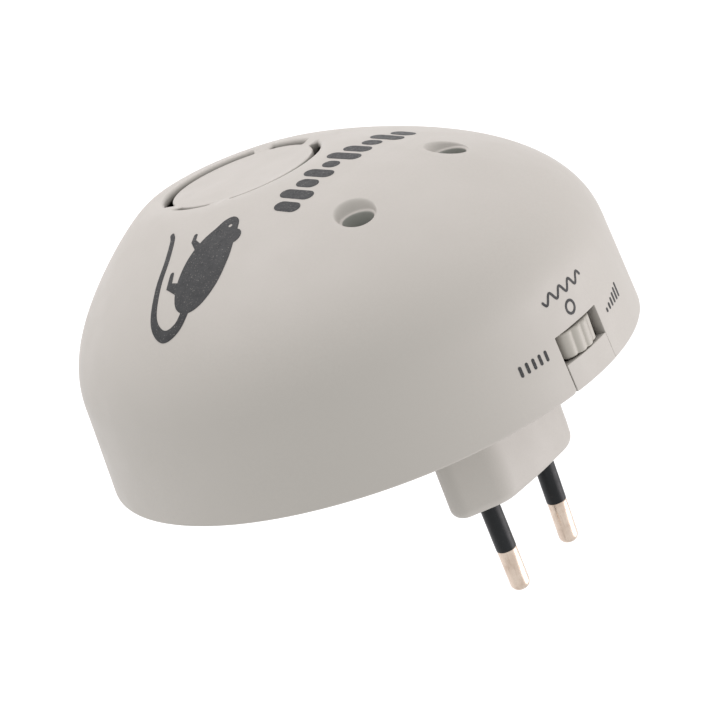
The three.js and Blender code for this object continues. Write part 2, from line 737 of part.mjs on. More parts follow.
function addGeometry(name, geometry, look, parent = repeller) {
  const mesh = new THREE.Mesh(geometry, look);
  mesh.name = name;
  parent.add(mesh);
  return mesh;
}

function add(name, body, look) {
  return addGeometry(name, geometryOf(body), look);
}

const SIDES = [['left', -1], ['right', 1]];

add('front_shell', frontShell(), housingPlastic);
add('back_cover', backCover(), housingPlastic);
add('plug_body', plugBody(), housingPlastic);

for (const [side, sign] of SIDES) {
  const place = new THREE.Group();
  place.position.x = sign * PIN.x;
  place.rotation.z = sign * pinLean;
  repeller.add(place);
  addGeometry(`plug_pin_${side}`, geometryOf(solid(pinGeometry())), nickel, place);
  addGeometry(`pin_sleeve_${side}`, geometryOf(solid(sleeveGeometry())), blackPlastic, place);
}

for (const [side, sign] of SIDES) {
  add(`housing_screw_${side}`, screw(sign * WELL.x, 0, WELL.seatH + GAP, 1, HOUSING_SCREW), steel);
  const earH = TWEETER.low - GAP;
  add(`tweeter_screw_${side}`, screw(sign * TWEETER.earX, SOUND.z, earH, -1, TWEETER_SCREW), steel);
}

add('main_board', mainBoard(), boardLaminate);
BOARD_FIXINGS.forEach(([x, z], i) => {
  add(`board_screw_${i + 1}`, screw(x, z, BOARD.high + GAP, 1, SMALL_SCREW), steel);
});

add('film_capacitor', boxComponent(-20, -21, 9, 12.5, 4.4), yellowPlastic);
add('reservoir_capacitor', canCapacitor(-24, -38, 5, 13), sleeveBlue);
add('timing_capacitor', canCapacitor(9, -52, 2.5, 8), sleeveBlue);
add('ceramic_capacitor', discCapacitor(-10, -54), ceramicBuff);
add('fusible_resistor', axialPart(22, -18, 2.0, 4.5), ceramicWhite);
add('bleed_resistor', axialPart(22, -25, 1.2, 3.2), resistorTan);
add('timing_resistor', axialPart(22, -30, 1.2, 3.2), resistorTan);
for (let i = 0; i < 4; i += 1) {
  add(`rectifier_diode_${i + 1}`, axialPart(-3, -15 - 5 * i, 1.35, 2.6), blackPlastic);
}
add('zener_diode', axialPart(-12.5, -46, 0.95, 2.0), copper);
add('timer_chip', timerChip(3, -41), blackPlastic);
add('driver_transistor', driverTransistor(24, -36.5), blackPlastic);
add('transformer_core', transformerCore(), ferrite);
add('transformer_winding', transformerWinding(), copper);

add('switch_frame', switchFrame(), steel);
add('switch_base', switchBase(), resistorTan);
[-5.1, -1.7, 1.7, 5.1].forEach((x, i) => {
  add(`switch_terminal_${i + 1}`, switchTerminal(x), nickel);
});
add('switch_slider', switchSlider(), blackPlastic);
add('switch_contact', switchContact(), copper);
add('switch_knob', switchKnob(), housingPlastic);

add('tweeter_case', tweeterCase(), blackPlastic);
const { foamRing, metalPlate, ceramic } = PIEZO;
const foamSpan = [foamRing.low, foamRing.high];
add('tweeter_foam_ring', ringH(foamRing.inner, foamRing.outer, ...foamSpan, 0, SOUND.z, 24), foam);
for (const [name, disc, look] of [['plate', metalPlate, brass], ['ceramic', ceramic, ceramicWhite]]) {
  add(`tweeter_${name}`, rodH(disc.radius, disc.low, disc.high, 0, SOUND.z, 24), look);
}
add('tweeter_cone', tweeterCone(), coneGrey);

add('mains_lead_left', mainsLead(-1), bluePvc);
add('mains_lead_right', mainsLead(1), brownPvc);
add('tweeter_lead_left', tweeterLead(-1), blackPvc);
add('tweeter_lead_right', tweeterLead(1), redPvc);

export default repeller;
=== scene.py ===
"""Looks for a plug-in ultrasonic pest repeller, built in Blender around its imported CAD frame.

Lengths are millimetres until a mesh is made. +Y points into the wall, +Z is up and +X is
right as seen from the room. A height h is measured from the dome's rim plane towards the
room, so y = rim - h.
"""

import json
import math

import bmesh
import bpy
import numpy as np
from mathutils import Matrix, Vector
from mathutils.geometry import delaunay_2d_cdt


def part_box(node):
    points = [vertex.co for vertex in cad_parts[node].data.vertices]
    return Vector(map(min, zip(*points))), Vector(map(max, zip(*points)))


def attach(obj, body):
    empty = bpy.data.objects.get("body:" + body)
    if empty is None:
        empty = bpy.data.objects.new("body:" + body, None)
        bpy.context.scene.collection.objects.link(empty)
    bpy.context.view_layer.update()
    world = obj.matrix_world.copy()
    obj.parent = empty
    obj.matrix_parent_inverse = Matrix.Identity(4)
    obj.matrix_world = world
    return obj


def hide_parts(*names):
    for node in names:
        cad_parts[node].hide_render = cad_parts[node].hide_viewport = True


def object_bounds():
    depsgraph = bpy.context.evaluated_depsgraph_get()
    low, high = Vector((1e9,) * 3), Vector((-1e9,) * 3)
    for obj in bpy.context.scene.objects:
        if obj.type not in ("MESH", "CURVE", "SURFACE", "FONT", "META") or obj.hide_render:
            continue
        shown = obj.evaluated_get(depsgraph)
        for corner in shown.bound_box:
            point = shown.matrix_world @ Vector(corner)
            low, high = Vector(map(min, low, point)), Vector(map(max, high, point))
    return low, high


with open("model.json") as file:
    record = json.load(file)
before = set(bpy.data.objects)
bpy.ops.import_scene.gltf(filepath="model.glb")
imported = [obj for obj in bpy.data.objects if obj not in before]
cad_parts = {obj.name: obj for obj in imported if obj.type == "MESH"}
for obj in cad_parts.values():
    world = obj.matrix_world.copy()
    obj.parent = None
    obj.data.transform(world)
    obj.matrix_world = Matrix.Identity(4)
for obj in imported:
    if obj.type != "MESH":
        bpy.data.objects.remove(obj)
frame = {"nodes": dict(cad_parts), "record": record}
cad_low, cad_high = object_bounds()

MM = 0.001
TURN = 2 * math.pi


def box_mm(node):
    low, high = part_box(node)
    return np.array(low) / MM, np.array(high) / MM


# ------------------------------------------------------------------------- dimensions

SHELL_LOW, SHELL_HIGH = box_mm("front_shell")
RIM_Y = SHELL_HIGH[1]
HALF_WIDTH = (SHELL_HIGH[0] - SHELL_LOW[0]) / 2
OPENING = {"half": 6.7, "low": 5.45, "high": 11.0}
# The switch's opening takes the rim's topmost point away, so the box ends at its corners.
CORNER_RISE = math.sqrt(1 - (OPENING["half"] / HALF_WIDTH) ** 2)
HALF_HEIGHT = (SHELL_HIGH[2] - SHELL_LOW[2]) / (1 + CORNER_RISE)
CENTRE_Z = SHELL_LOW[2] + HALF_HEIGHT
DOME_HEIGHT = RIM_Y - SHELL_LOW[1]
WALL = 2.2

DRAFT = math.radians(3.75)
SIDE_HEIGHT = 17.5
CROWN_RADIUS = 18.5
CROWN_DROP = 13.0  # how far the crown's middle is below the rim's
DROP_POWER = 6.1
SHOULDER_IN = 2 / 1.23  # powers of the shoulder's curve
SHOULDER_OUT = 2 / 2.09
SWELL = {"rise": 1.1, "half_x": 22.0, "half_z": 12.0}  # extra fullness between the wells

SOUND = {"z": -39.3, "disc": 14.5, "slot": 16.2, "corner": 0.75, "bridge": 11.0,
         "bridge_at": 25.0, "sunk": 0.42}
WELL = {"x": 14.7, "bore": 2.95, "ledge_h": 40.8, "ledge": 0.45, "ledge_slope": 0.45,
        "wall_slope": 2.5, "tilt": 0.36, "soft": 0.9, "margin": 0.95, "seat_h": 26.2,
        "foot_h": 24.2, "hole": 1.8, "tube": 4.6, "tube_h": 34.0, "bore_h": 33.0}
COVER = {"low": 0.2, "high": 2.2, "edge_gap": 2.7}
TONGUE = {"left_gap": 0.02, "right_gap": 0.24, "edge": 0.12}
KNOB = {"corner": 0.35, "rib": 0.5, "rib_power": 0.7, "drop": 1.7, "steps": 72}
NOSE = {"tip": 18.5, "shoulder": 9.9, "half_height": 7.65, "bulge": 0.43, "corner": 2.6,
        "shoulder_radius": 7.5, "edge": 2.1, "foot_h": 5.0, "inside_h": 2.0}
PANEL = {"half_x": 20, "half_z": 11, "corner": 2, "middle": (0, -50)}
PIN = {"x": 9.3, "tip_x": 8.75, "length": 20.0, "radius": 1.95, "sleeve": 2.0,
       "sleeve_end": 11.0, "channel": 2.3, "channel_end": 14.0, "tip_round": 1.55, "middle": 16.0,
       "neck": 1.35, "neck_end": 6.3, "collar_end": 14.7, "tail": 1.5, "tail_end": 19.0,
       "sleeve_bore": 1.55, "sleeve_foot": 6.0}
PIN_LEAN = math.atan((PIN["x"] - PIN["tip_x"]) / PIN["length"])


# ------------------------------------------------------------------------------ camera

def make_camera():
    """The photograph's viewpoint: from above and to the right, with the camera on its side."""
    right = Vector((-0.5856, 0.3462, 0.7330))
    up = Vector((-0.4621, -0.8855, 0.0490))
    back = right.cross(up).normalized()
    eye = Vector((299.72, -165.77, 277.68)) * MM
    camera = bpy.data.objects.new("camera", bpy.data.cameras.new("camera"))
    bpy.context.scene.collection.objects.link(camera)
    turn = Matrix((right, up, back)).transposed().to_4x4()
    camera.matrix_world = Matrix.Translation(eye) @ turn
    camera.data.sensor_width = 36
    camera.data.lens = 115.16
    camera.data.clip_start = 0.01
    camera.data.clip_end = 20
    bpy.context.scene.camera = camera


# --------------------------------------------------------------------------- materials

class Look:
    """A node material with a short hand for the nodes used here."""

    def __init__(self, name, roughness=0.5, metallic=0.0, specular=0.5, coat=0.0):
        self.material = bpy.data.materials.new(name)
        self.material.use_nodes = True
        self.nodes = self.material.node_tree.nodes
        self.shader = self.nodes["Principled BSDF"]
        self.shader.inputs["Roughness"].default_value = roughness
        self.shader.inputs["Metallic"].default_value = metallic
        self.shader.inputs["Specular IOR Level"].default_value = specular
        self.shader.inputs["Coat Weight"].default_value = coat
        self.place = self.node("ShaderNodeTexCoord").outputs["Object"]

    def node(self, kind, inputs=None, **settings):
        made = self.nodes.new(kind)
        for key, value in settings.items():
            setattr(made, key, value)
        for key, value in (inputs or {}).items():
            if isinstance(value, bpy.types.NodeSocket):
                self.link(value, made.inputs[key])
            else:
                made.inputs[key].default_value = value
        return made

    def link(self, source, target):
        self.material.node_tree.links.new(source, target)

    def noise(self, size_mm, detail=3.0, stretch=None):
        """Noise whose features are about size_mm across."""
        place = self.place
        if stretch:
            scaled = self.node("ShaderNodeMapping", {"Vector": place, "Scale": stretch})
            place = scaled.outputs["Vector"]
        inputs = {"Vector": place, "Scale": 1 / (size_mm * MM), "Detail": detail}
        return self.node("ShaderNodeTexNoise", inputs).outputs["Fac"]

    def mask(self, value, low, high, out_low=0.0, out_high=1.0):
        inputs = {"Value": value, "From Min": low, "From Max": high, "To Min": out_low,
                  "To Max": out_high}
        return self.node("ShaderNodeMapRange", inputs).outputs["Result"]

    def mix(self, factor, first, second, blend="MIX"):
        node = self.node("ShaderNodeMix", data_type="RGBA", blend_type=blend)
        for socket, value in zip((node.inputs[0], node.inputs[6], node.inputs[7]),
                                 (factor, first, second)):
            if isinstance(value, bpy.types.NodeSocket):
                self.link(value, socket)
            else:
                socket.default_value = value
        return node.outputs[2]

    def colour(self, source):
        self.link(source, self.shader.inputs["Base Color"])
        return self

    def rough(self, source):
        self.link(source, self.shader.inputs["Roughness"])
        return self

    def bump(self, *layers):
        """Each layer is (height socket, height in mm)."""
        normal = None
        for height, depth_mm in layers:
            inputs = {"Height": height, "Distance": depth_mm * MM, "Strength": 1.0}
            if normal is not None:
                inputs["Normal"] = normal
            normal = self.node("ShaderNodeBump", inputs).outputs["Normal"]
        self.link(normal, self.shader.inputs["Normal"])
        return self


def rgb(red, green, blue):
    """A display colour, 0 to 255, as the linear colour that a shader takes."""
    def linear(value):
        value /= 255
        return value / 12.92 if value <= 0.04045 else ((value + 0.055) / 1.055) ** 2.4
    return (linear(red), linear(green), linear(blue), 1)


def moulded_plastic(name, colour, worn, recess_shade, roughness, grain_mm=0.45, grain_depth=0.012):
    """Satin moulded plastic: spark-eroded grain, faint flow marks, polished worn edges and
    a darker colour in the concave recesses, which is painted shade."""
    look = Look(name, roughness, specular=0.42)
    geometry = look.node("ShaderNodeNewGeometry")
    edge = look.mask(geometry.outputs["Pointiness"], 0.53, 0.62)
    # Concave places, found by pointiness, turn darker: painted shade in the recesses.
    recess = look.mask(geometry.outputs["Pointiness"], 0.47, 0.40, 0.0, 0.5)
    cloud = look.mask(look.noise(26, 2), 0.35, 0.7)
    base = look.mix(look.mask(look.noise(0.5, 2), 0.3, 0.7), colour, shade(colour, 0.965))
    base = look.mix(cloud, base, shade(colour, 0.985))
    base = look.mix(edge, base, worn)
    # painted shade mixed in where the surface is concave
    base = look.mix(recess, base, recess_shade)
    fine = look.noise(grain_mm, 2.5)
    uneven = look.mask(look.noise(7, 3), 0.3, 0.7, roughness - 0.05, roughness + 0.06)
    look.colour(base).rough(uneven)
    return look.bump((fine, grain_depth), (look.noise(18, 1), 0.02)).material


def shade(colour, factor):
    return tuple(value * factor for value in colour[:3]) + (1,)


def printed_ink(name):
    """Pad-printed ink: dark grey, with the pinholes that a rough surface leaves."""
    look = Look(name, 0.5, specular=0.2)
    holes = look.mask(look.noise(0.28, 2), 0.62, 0.72, 0.0, 0.8)
    thin = look.mask(look.noise(2.5, 2), 0.35, 0.75, 0.0, 0.5)
    base = look.mix(thin, rgb(42, 43, 44), rgb(60, 61, 61))
    base = look.mix(holes, base, rgb(112, 109, 106))
    look.colour(base).rough(look.mask(look.noise(0.6, 2), 0.3, 0.7, 0.42, 0.6))
    return look.bump((look.noise(0.4, 2), 0.01)).material


def satin_black(name, colour, roughness=0.36):
    look = Look(name, roughness, specular=0.22)
    rubbed = look.mask(look.noise(3.2, 3, (1, 0.25, 1)), 0.55, 0.8, 0.0, 0.6)
    dust = look.mask(look.noise(0.35, 1), 0.68, 0.76, 0.0, 0.35)
    base = look.mix(rubbed, colour, shade(colour, 2.2))
    base = look.mix(dust, base, rgb(60, 60, 59))
    look.colour(base).rough(look.mask(look.noise(1.5, 3), 0.3, 0.7, roughness - 0.08, roughness + 0.1))
    return look.bump((look.noise(0.6, 2), 0.008)).material


def plated_metal(name, colour, tarnish, roughness=0.3, stretch=(1, 0.15, 1), streak=0.35):
    """Plated metal with drawing lines along it, a little tarnish and fine scratches."""
    look = Look(name, roughness, metallic=1.0)
    lines = look.noise(streak, 4, stretch)
    patches = look.mask(look.noise(2.6, 3), 0.45, 0.75, 0.0, 0.7)
    base = look.mix(patches, colour, tarnish)
    base = look.mix(look.mask(lines, 0.55, 0.75, 0.0, 0.5), base, shade(tarnish, 0.8))
    look.colour(base).rough(look.mask(lines, 0.3, 0.7, roughness - 0.06, roughness + 0.12))
    return look.bump((lines, 0.004)).material


def plain_solid(name, colour, second, roughness, grain_mm, depth_mm, coat):
    """A two-tone material for the pieces inside: colour patches, grain and uneven gloss."""
    look = Look(name, roughness, coat=coat)
    grain = look.noise(grain_mm, 3)
    base = look.mix(look.mask(grain, 0.4, 0.65), colour, second)
    base = look.mix(look.mask(look.noise(6, 2), 0.5, 0.75, 0.0, 0.4), base, shade(second, 0.8))
    look.colour(base).rough(look.mask(look.noise(2, 3), 0.3, 0.7, roughness - 0.08, roughness + 0.1))
    return look.bump((grain, depth_mm)).material


def wound_wire(name, colour, second):
    """Fine enamelled wire laid in turns: close rings of ridges along the bobbin, darkened
    between the turns with painted shade.
    """
    look = Look(name, 0.35, metallic=0.8)
    bands = look.node("ShaderNodeTexWave", {"Vector": look.place, "Scale": 900, "Distortion": 1.2},
                      wave_type="BANDS", bands_direction="Y")
    # Colour runs from half to full across each turn: painted shade in the grooves.
    base = look.mix(bands.outputs["Fac"], shade(colour, 0.5), colour)
    base = look.mix(look.mask(look.noise(1.5, 2), 0.5, 0.7, 0.0, 0.5), base, second)
    look.colour(base).rough(look.mask(look.noise(1, 2), 0.3, 0.7, 0.28, 0.5))
    return look.bump((bands.outputs["Fac"], 0.08)).material


PLAIN_SOLIDS = {  # two colours, roughness, grain size and depth in mm, clear coat
    "board_laminate": ((176, 142, 90), (150, 116, 68), 0.55, 0.8, 0.02, 0),
    "yellow_plastic": ((220, 186, 70), (206, 168, 52), 0.42, 1.2, 0.01, 0),
    "capacitor_sleeve": ((36, 48, 82), (28, 36, 62), 0.32, 1.6, 0.01, 0.3),
    "ceramic_dip": ((190, 140, 84), (168, 116, 64), 0.5, 0.5, 0.02, 0),
    "ceramic_white": ((226, 223, 214), (208, 204, 194), 0.6, 0.3, 0.01, 0),
    "resistor_lacquer": ((206, 178, 134), (188, 156, 110), 0.4, 0.7, 0.01, 0.3),
    "diode_glass": ((186, 92, 48), (140, 60, 30), 0.2, 0.6, 0.01, 0.5),
    "ferrite": ((62, 62, 66), (44, 44, 46), 0.62, 0.25, 0.02, 0),
    "phenolic": ((140, 92, 50), (112, 70, 36), 0.55, 0.5, 0.02, 0),
    "foam": ((58, 58, 58), (34, 34, 34), 0.92, 0.35, 0.12, 0),
    "cone_plastic": ((48, 48, 50), (36, 36, 38), 0.55, 0.6, 0.02, 0),
    "red_pvc": ((180, 48, 40), (158, 36, 32), 0.38, 0.9, 0.01, 0),
    "blue_pvc": ((46, 94, 168), (34, 76, 146), 0.38, 0.9, 0.01, 0),
    "brown_pvc": ((98, 60, 36), (78, 46, 28), 0.38, 0.9, 0.01, 0),
}


def make_looks():
    looks = {
        # Each plastic's third colour is painted shade for its concave recesses.
        "housing_plastic": moulded_plastic(
            "housing_plastic", rgb(167, 163, 157), rgb(176, 172, 166), rgb(138, 134, 126), 0.52),
        "knob_plastic": moulded_plastic(
            "knob_plastic", rgb(163, 159, 151), rgb(176, 172, 164), rgb(130, 125, 116), 0.45,
            0.3, 0.006),
        # The well bores' plastic: a darker copy of the housing's, painted shade for their depth.
        "bore_shade_plastic": moulded_plastic(
            "bore_shade_plastic", rgb(145, 146, 140), rgb(156, 157, 151), rgb(120, 121, 115), 0.6),
        "print_ink": printed_ink("print_ink"),
        "black_plastic": satin_black("black_plastic", rgb(18, 20, 22)),
        "nickel": plated_metal("nickel", rgb(208, 192, 178), rgb(178, 158, 142), 0.3),
        "steel": plated_metal("steel", rgb(196, 198, 200), rgb(150, 150, 148), 0.34, (1, 1, 1)),
        "brass": plated_metal("brass", rgb(205, 175, 110), rgb(150, 118, 66), 0.36, (1, 1, 1)),
        "copper": wound_wire("copper", rgb(196, 120, 76), rgb(120, 66, 40)),
    }
    for name, (first, second, roughness, grain_mm, depth_mm, coat) in PLAIN_SOLIDS.items():
        looks[name] = plain_solid(
            name, rgb(*first), rgb(*second), roughness, grain_mm, depth_mm, coat)
    return looks


# ------------------------------------------------------------------------ mesh builder

class Builder:
    """Collects points (mm) and faces for one closed piece."""

    def __init__(self):
        self.points = []
        self.faces = []
        self.normals = {}
        # faces that take the darker second material, painted shade
        self.painted_shade_faces = []

    def add(self, points):
        """Adds a list of points and returns their numbers."""
        start = len(self.points)
        self.points.extend([tuple(map(float, p)) for p in points])
        return list(range(start, len(self.points)))

    def strip(self, first, second):
        """Quads between two closed loops with equal numbers of points."""
        count = len(first)
        for i in range(count):
            j = (i + 1) % count
            self.faces.append((first[i], first[j], second[j], second[i]))

    def stack(self, rings):
        """Adds rings of points in turn, skins them, and returns their numbers."""
        ids = [self.add(ring) for ring in rings]
        for first, second in zip(ids, ids[1:]):
            self.strip(first, second)
        return ids

    def cap(self, ring):
        self.faces.append(tuple(ring))

    def keep_used(self):
        """Drops the points that no face uses."""
        used = sorted({i for face in self.faces for i in face})
        number = {old: new for new, old in enumerate(used)}
        self.points = [self.points[i] for i in used]
        self.faces = [tuple(number[i] for i in face) for face in self.faces]
        self.normals = {number[i]: n for i, n in self.normals.items() if i in number}

    def piece(self, name, look, body, replaces=(), sharp_deg=38.0, second=None):
        """Makes the Blender object, riding on its body. The faces listed for painted shade take
        the second material, a darker plastic that paints shade on them."""
        mesh = bpy.data.meshes.new(name)
        mesh.from_pydata((np.array(self.points) * MM).tolist(), [], self.faces)
        turn_outside_out(mesh)
        mesh.polygons.foreach_set("use_smooth", [True] * len(mesh.polygons))
        mesh.set_sharp_from_angle(angle=math.radians(sharp_deg))
        if self.normals:
            custom = np.zeros((len(self.points), 3))
            for number, normal in self.normals.items():
                custom[number] = normal
            mesh.normals_split_custom_set_from_vertices(custom.tolist())
        mesh.materials.append(look)
        if second:
            mesh.materials.append(second)
        for face in self.painted_shade_faces:
            mesh.polygons[face].material_index = 1
        made = bpy.data.objects.new(name, mesh)
        bpy.context.scene.collection.objects.link(made)
        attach(made, body)
        if replaces:
            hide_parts(*replaces)
        return made


def turn_outside_out(mesh):
    work = bmesh.new()
    work.from_mesh(mesh)
    bmesh.ops.recalc_face_normals(work, faces=work.faces)
    work.to_mesh(mesh)
    work.free()


def inside_polygon(points, polygon):
    """Which of the points lie inside a closed polygon, as a boolean array."""
    x, y = points[:, 0, None], points[:, 1, None]
    ax, ay = polygon[:, 0], polygon[:, 1]
    bx, by = np.roll(ax, -1), np.roll(ay, -1)
    crosses = (ay > y) != (by > y)
    rise = np.where(by == ay, 1e-12, by - ay)
    left_of = x < (bx - ax) * (y - ay) / rise + ax
    return (crosses & left_of).sum(axis=1) % 2 == 1


def between(loops):
    """A test for points inside the first loop and outside the others."""
    def held(points):
        kept = inside_polygon(points, loops[0])
        for hole in loops[1:]:
            kept &= ~inside_polygon(points, hole)
        return kept
    return held


def triangulate(loops, extra, keep):
    """Triangles over closed loops and loose points in a plane. keep says which centres
    stay. Returns the points used, the triangles and each input point's number."""
    points = [tuple(p) for loop in loops for p in loop]
    edges = []
    start = 0
    for loop in loops:
        count = len(loop)
        edges += [(start + i, start + (i + 1) % count) for i in range(count)]
        start += count
    points += [tuple(p) for p in extra]
    made = delaunay_2d_cdt([Vector(p) for p in points], edges, [], 0, 1e-7, True)
    flat = np.array([tuple(v) for v in made[0]])
    triangles = np.array([tuple(t) for t in made[2]], int)
    number = {}
    for index, sources in enumerate(made[3]):
        for source in sources:
            number[source] = index
    centres = flat[triangles].mean(axis=1)
    return flat, triangles[keep(centres)], number


def near_loops(points, loops, distance):
    """Which points lie within a distance of any loop's points."""
    outline = np.concatenate(loops)
    close = np.zeros(len(points), bool)
    for part in range(0, len(points), 2000):
        gap = points[part:part + 2000, None, :] - outline[None, :, :]
        close[part:part + 2000] = (gap ** 2).sum(-1).min(1) < distance ** 2
    return close


def hex_grid(low, high, pitch):
    """Points on a triangular grid over a rectangle."""
    rows = np.arange(low[1], high[1], pitch * math.sqrt(3) / 2)
    points = []
    for i, y in enumerate(rows):
        x = np.arange(low[0] + pitch / 2 * (i % 2), high[0], pitch)
        points.append(np.stack([x, np.full_like(x, y)], 1))
    return np.concatenate(points)


# ------------------------------------------------------------------------ dome surface

PAST_RIM = 8  # how far the section table runs on past the rim
EASED_END = 5  # the length at the table's end that easing spoils
CROWN_STEPS = 600


def section_table():
    """The dome's half section from the crown's middle to the rim, by arc length: rows of
    distance, scale and height, with the joints between its parts eased."""
    crown = CROWN_RADIUS / HALF_WIDTH
    slope = math.tan(DRAFT) / HALF_WIDTH
    side = 1 - slope * SIDE_HEIGHT
    shoulder = np.linspace(TURN / 4, 0, 1200)
    inward = np.maximum(np.cos(shoulder), 0) ** SHOULDER_IN
    upward = np.sin(shoulder) ** SHOULDER_OUT
    heights = np.linspace(SIDE_HEIGHT, -PAST_RIM, 300)[1:]
    scale = np.concatenate([
        np.linspace(-crown, crown, CROWN_STEPS)[:-1],
        crown + (side - crown) * inward,
        1 - slope * heights,
    ])
    height = np.concatenate([
        np.full(CROWN_STEPS - 1, DOME_HEIGHT),
        SIDE_HEIGHT + (DOME_HEIGHT - SIDE_HEIGHT) * upward,
        heights,
    ])
    step = np.hypot(np.diff(scale * HALF_WIDTH), np.diff(height))
    along = np.concatenate([[0], np.cumsum(step)])
    along -= np.interp(0, scale, along)
    pitch, ease, steps = 0.1, 1.1, 40
    even = np.arange(-10, along[-1], pitch)
    reach = np.arange(-steps, steps + 1) * pitch
    kernel = np.exp(-0.5 * (reach / ease) ** 2)
    kernel /= kernel.sum()
    scale = np.convolve(np.interp(even, along, scale), kernel, "same")
    height = np.convolve(np.interp(even, along, height), kernel, "same")
    good = (even >= 0) & (even < even[-1] - EASED_END)
    return even[good], scale[good], height[good]


RHO, SCALE, HEIGHT = section_table()
RIM_RHO = float(np.interp(0, -HEIGHT, RHO))


def centre_z(h):
    return CENTRE_Z - CROWN_DROP * (np.maximum(h, 0) / DOME_HEIGHT) ** DROP_POWER


def dome(flat):
    """The dome's points over points of the unrolled surface, which is drawn as a disc with
    the crown in its middle and the rim around it."""
    flat = np.asarray(flat, float)
    rho = np.hypot(flat[:, 0], flat[:, 1])
    spread = np.interp(rho, RHO, SCALE) / np.maximum(rho, 1e-9)
    h = np.interp(rho, RHO, HEIGHT)
    x = HALF_WIDTH * spread * flat[:, 0]
    z = centre_z(h) + HALF_HEIGHT * spread * flat[:, 1]
    swell = SWELL["rise"] * np.exp(-(x / SWELL["half_x"]) ** 4 - (z / SWELL["half_z"]) ** 2)
    lip = (SOUND["slot"] - np.hypot(x, z - SOUND["z"])) / (SOUND["slot"] - SOUND["disc"])
    lip = np.clip(lip, 0, 1)
    sunk = SOUND["sunk"] * lip * lip * (3 - 2 * lip) * (h > SIDE_HEIGHT)
    return np.stack([x, RIM_Y - h - swell + sunk, z], 1)


def dome_normals(flat, step=0.15):
    flat = np.asarray(flat, float)
    across = dome(flat + [step, 0]) - dome(flat - [step, 0])
    upward = dome(flat + [0, step]) - dome(flat - [0, step])
    normal = np.cross(across, upward)
    return normal / np.linalg.norm(normal, axis=1, keepdims=True)


def unroll(plan):
    """The unrolled place of the surface point over each (x, z)."""
    plan = np.asarray(plan, float)
    low = np.zeros(len(plan))
    high = np.full(len(plan), RIM_RHO)
    for _ in range(48):
        middle = (low + high) / 2
        scale = np.interp(middle, RHO, SCALE)
        middle_z = centre_z(np.interp(middle, RHO, HEIGHT))
        reach = np.hypot(plan[:, 0] / HALF_WIDTH, (plan[:, 1] - middle_z) / HALF_HEIGHT)
        outside = reach > scale
        low = np.where(outside, middle, low)
        high = np.where(outside, high, middle)
    rho = (low + high) / 2
    scale = np.interp(rho, RHO, SCALE)
    middle_z = centre_z(np.interp(rho, RHO, HEIGHT))
    angle = np.arctan2((plan[:, 1] - middle_z) / HALF_HEIGHT, plan[:, 0] / HALF_WIDTH)
    return np.stack([rho * np.cos(angle), rho * np.sin(angle)], 1)


def unroll_top(side):
    """The unrolled place of points given as (x, h) on the dome's top side."""
    side = np.asarray(side, float)
    rho = np.interp(-side[:, 1], -HEIGHT, RHO)
    scale = np.interp(rho, RHO, SCALE)
    angle = np.arccos(side[:, 0] / (HALF_WIDTH * scale))
    return np.stack([rho * np.cos(angle), rho * np.sin(angle)], 1)


def height_over(plan):
    return RIM_Y - dome(unroll(plan))[:, 1]


# --------------------------------------------------------------------- outline helpers

def arc(centre, radius, start_deg, end_deg, steps):
    angles = np.radians(np.linspace(start_deg, end_deg, steps + 1))
    return np.stack([centre[0] + radius * np.cos(angles), centre[1] + radius * np.sin(angles)], 1)


def circle(centre, radius, count):
    return arc(centre, radius, 0, 360, count)[:-1]


def evenly(points, pitch, closed=True):
    """Points at an even pitch along a line of chords, which keeps its corners."""
    points = np.asarray(points, float)
    ends = np.roll(points, -1, axis=0) if closed else points[1:]
    starts = points if closed else points[:-1]
    rows = []
    for a, b in zip(starts, ends):
        count = max(1, round(float(np.linalg.norm(b - a)) / pitch))
        rows.append(a + (b - a) * (np.arange(count) / count)[:, None])
    if not closed:
        rows.append(points[-1:])
    return np.concatenate(rows)


def catmull_rom(a, b, c, d, t):
    """The curve from b to c at a share t of the way."""
    return 0.5 * (2 * b + (c - a) * t + (2 * a - 5 * b + 4 * c - d) * t ** 2
                  + (3 * b - a - 3 * c + d) * t ** 3)


def smooth_closed(points, steps=8):
    """A closed Catmull-Rom curve through a few points."""
    points = np.asarray(points, float)
    before, after = np.roll(points, 1, 0), np.roll(points, -1, 0)
    beyond = np.roll(points, -2, 0)
    rows = [catmull_rom(before, points, after, beyond, t) for t in np.arange(steps) / steps]
    return np.stack(rows, 1).reshape(-1, points.shape[1])


def smooth_open(points, steps=10):
    """An open Catmull-Rom curve through a few points."""
    points = np.asarray(points, float)
    padded = np.concatenate([[2 * points[0] - points[1]], points, [2 * points[-1] - points[-2]]])
    rows = []
    for i in range(len(points) - 1):
        rows += [catmull_rom(*padded[i:i + 4], t) for t in np.arange(steps) / steps]
    rows.append(points[-1])
    return np.array(rows)


def stroke(line, widths):
    """The outline of a stroke along a line, with round ends; widths are at its points."""
    line = np.asarray(line, float)
    widths = np.asarray(widths, float) / 2
    along = np.gradient(line, axis=0)
    along /= np.linalg.norm(along, axis=1, keepdims=True)
    side = np.stack([-along[:, 1], along[:, 0]], 1)
    start_deg = math.degrees(math.atan2(side[0, 1], side[0, 0]))
    end_deg = math.degrees(math.atan2(-side[-1, 1], -side[-1, 0]))
    left = (line + side * widths[:, None])[::-1]
    right = line - side * widths[:, None]
    head = arc(line[0], widths[0], start_deg, start_deg + 180, 8)[1:-1]
    tail = arc(line[-1], widths[-1], end_deg, end_deg + 180, 8)[1:-1]
    return np.concatenate([left, head, right, tail])


# ------------------------------------------------------------------------- front shell

DISC_EDGE = 0.3  # rounding of the sound disc's edge
SLOT_EDGE = 0.75  # rounding of the slots' outer edge
RIM_EDGE = 0.6
NOTCH_EDGE = 0.14
DOME_PITCH = 1.7
RIM_POINTS = 230


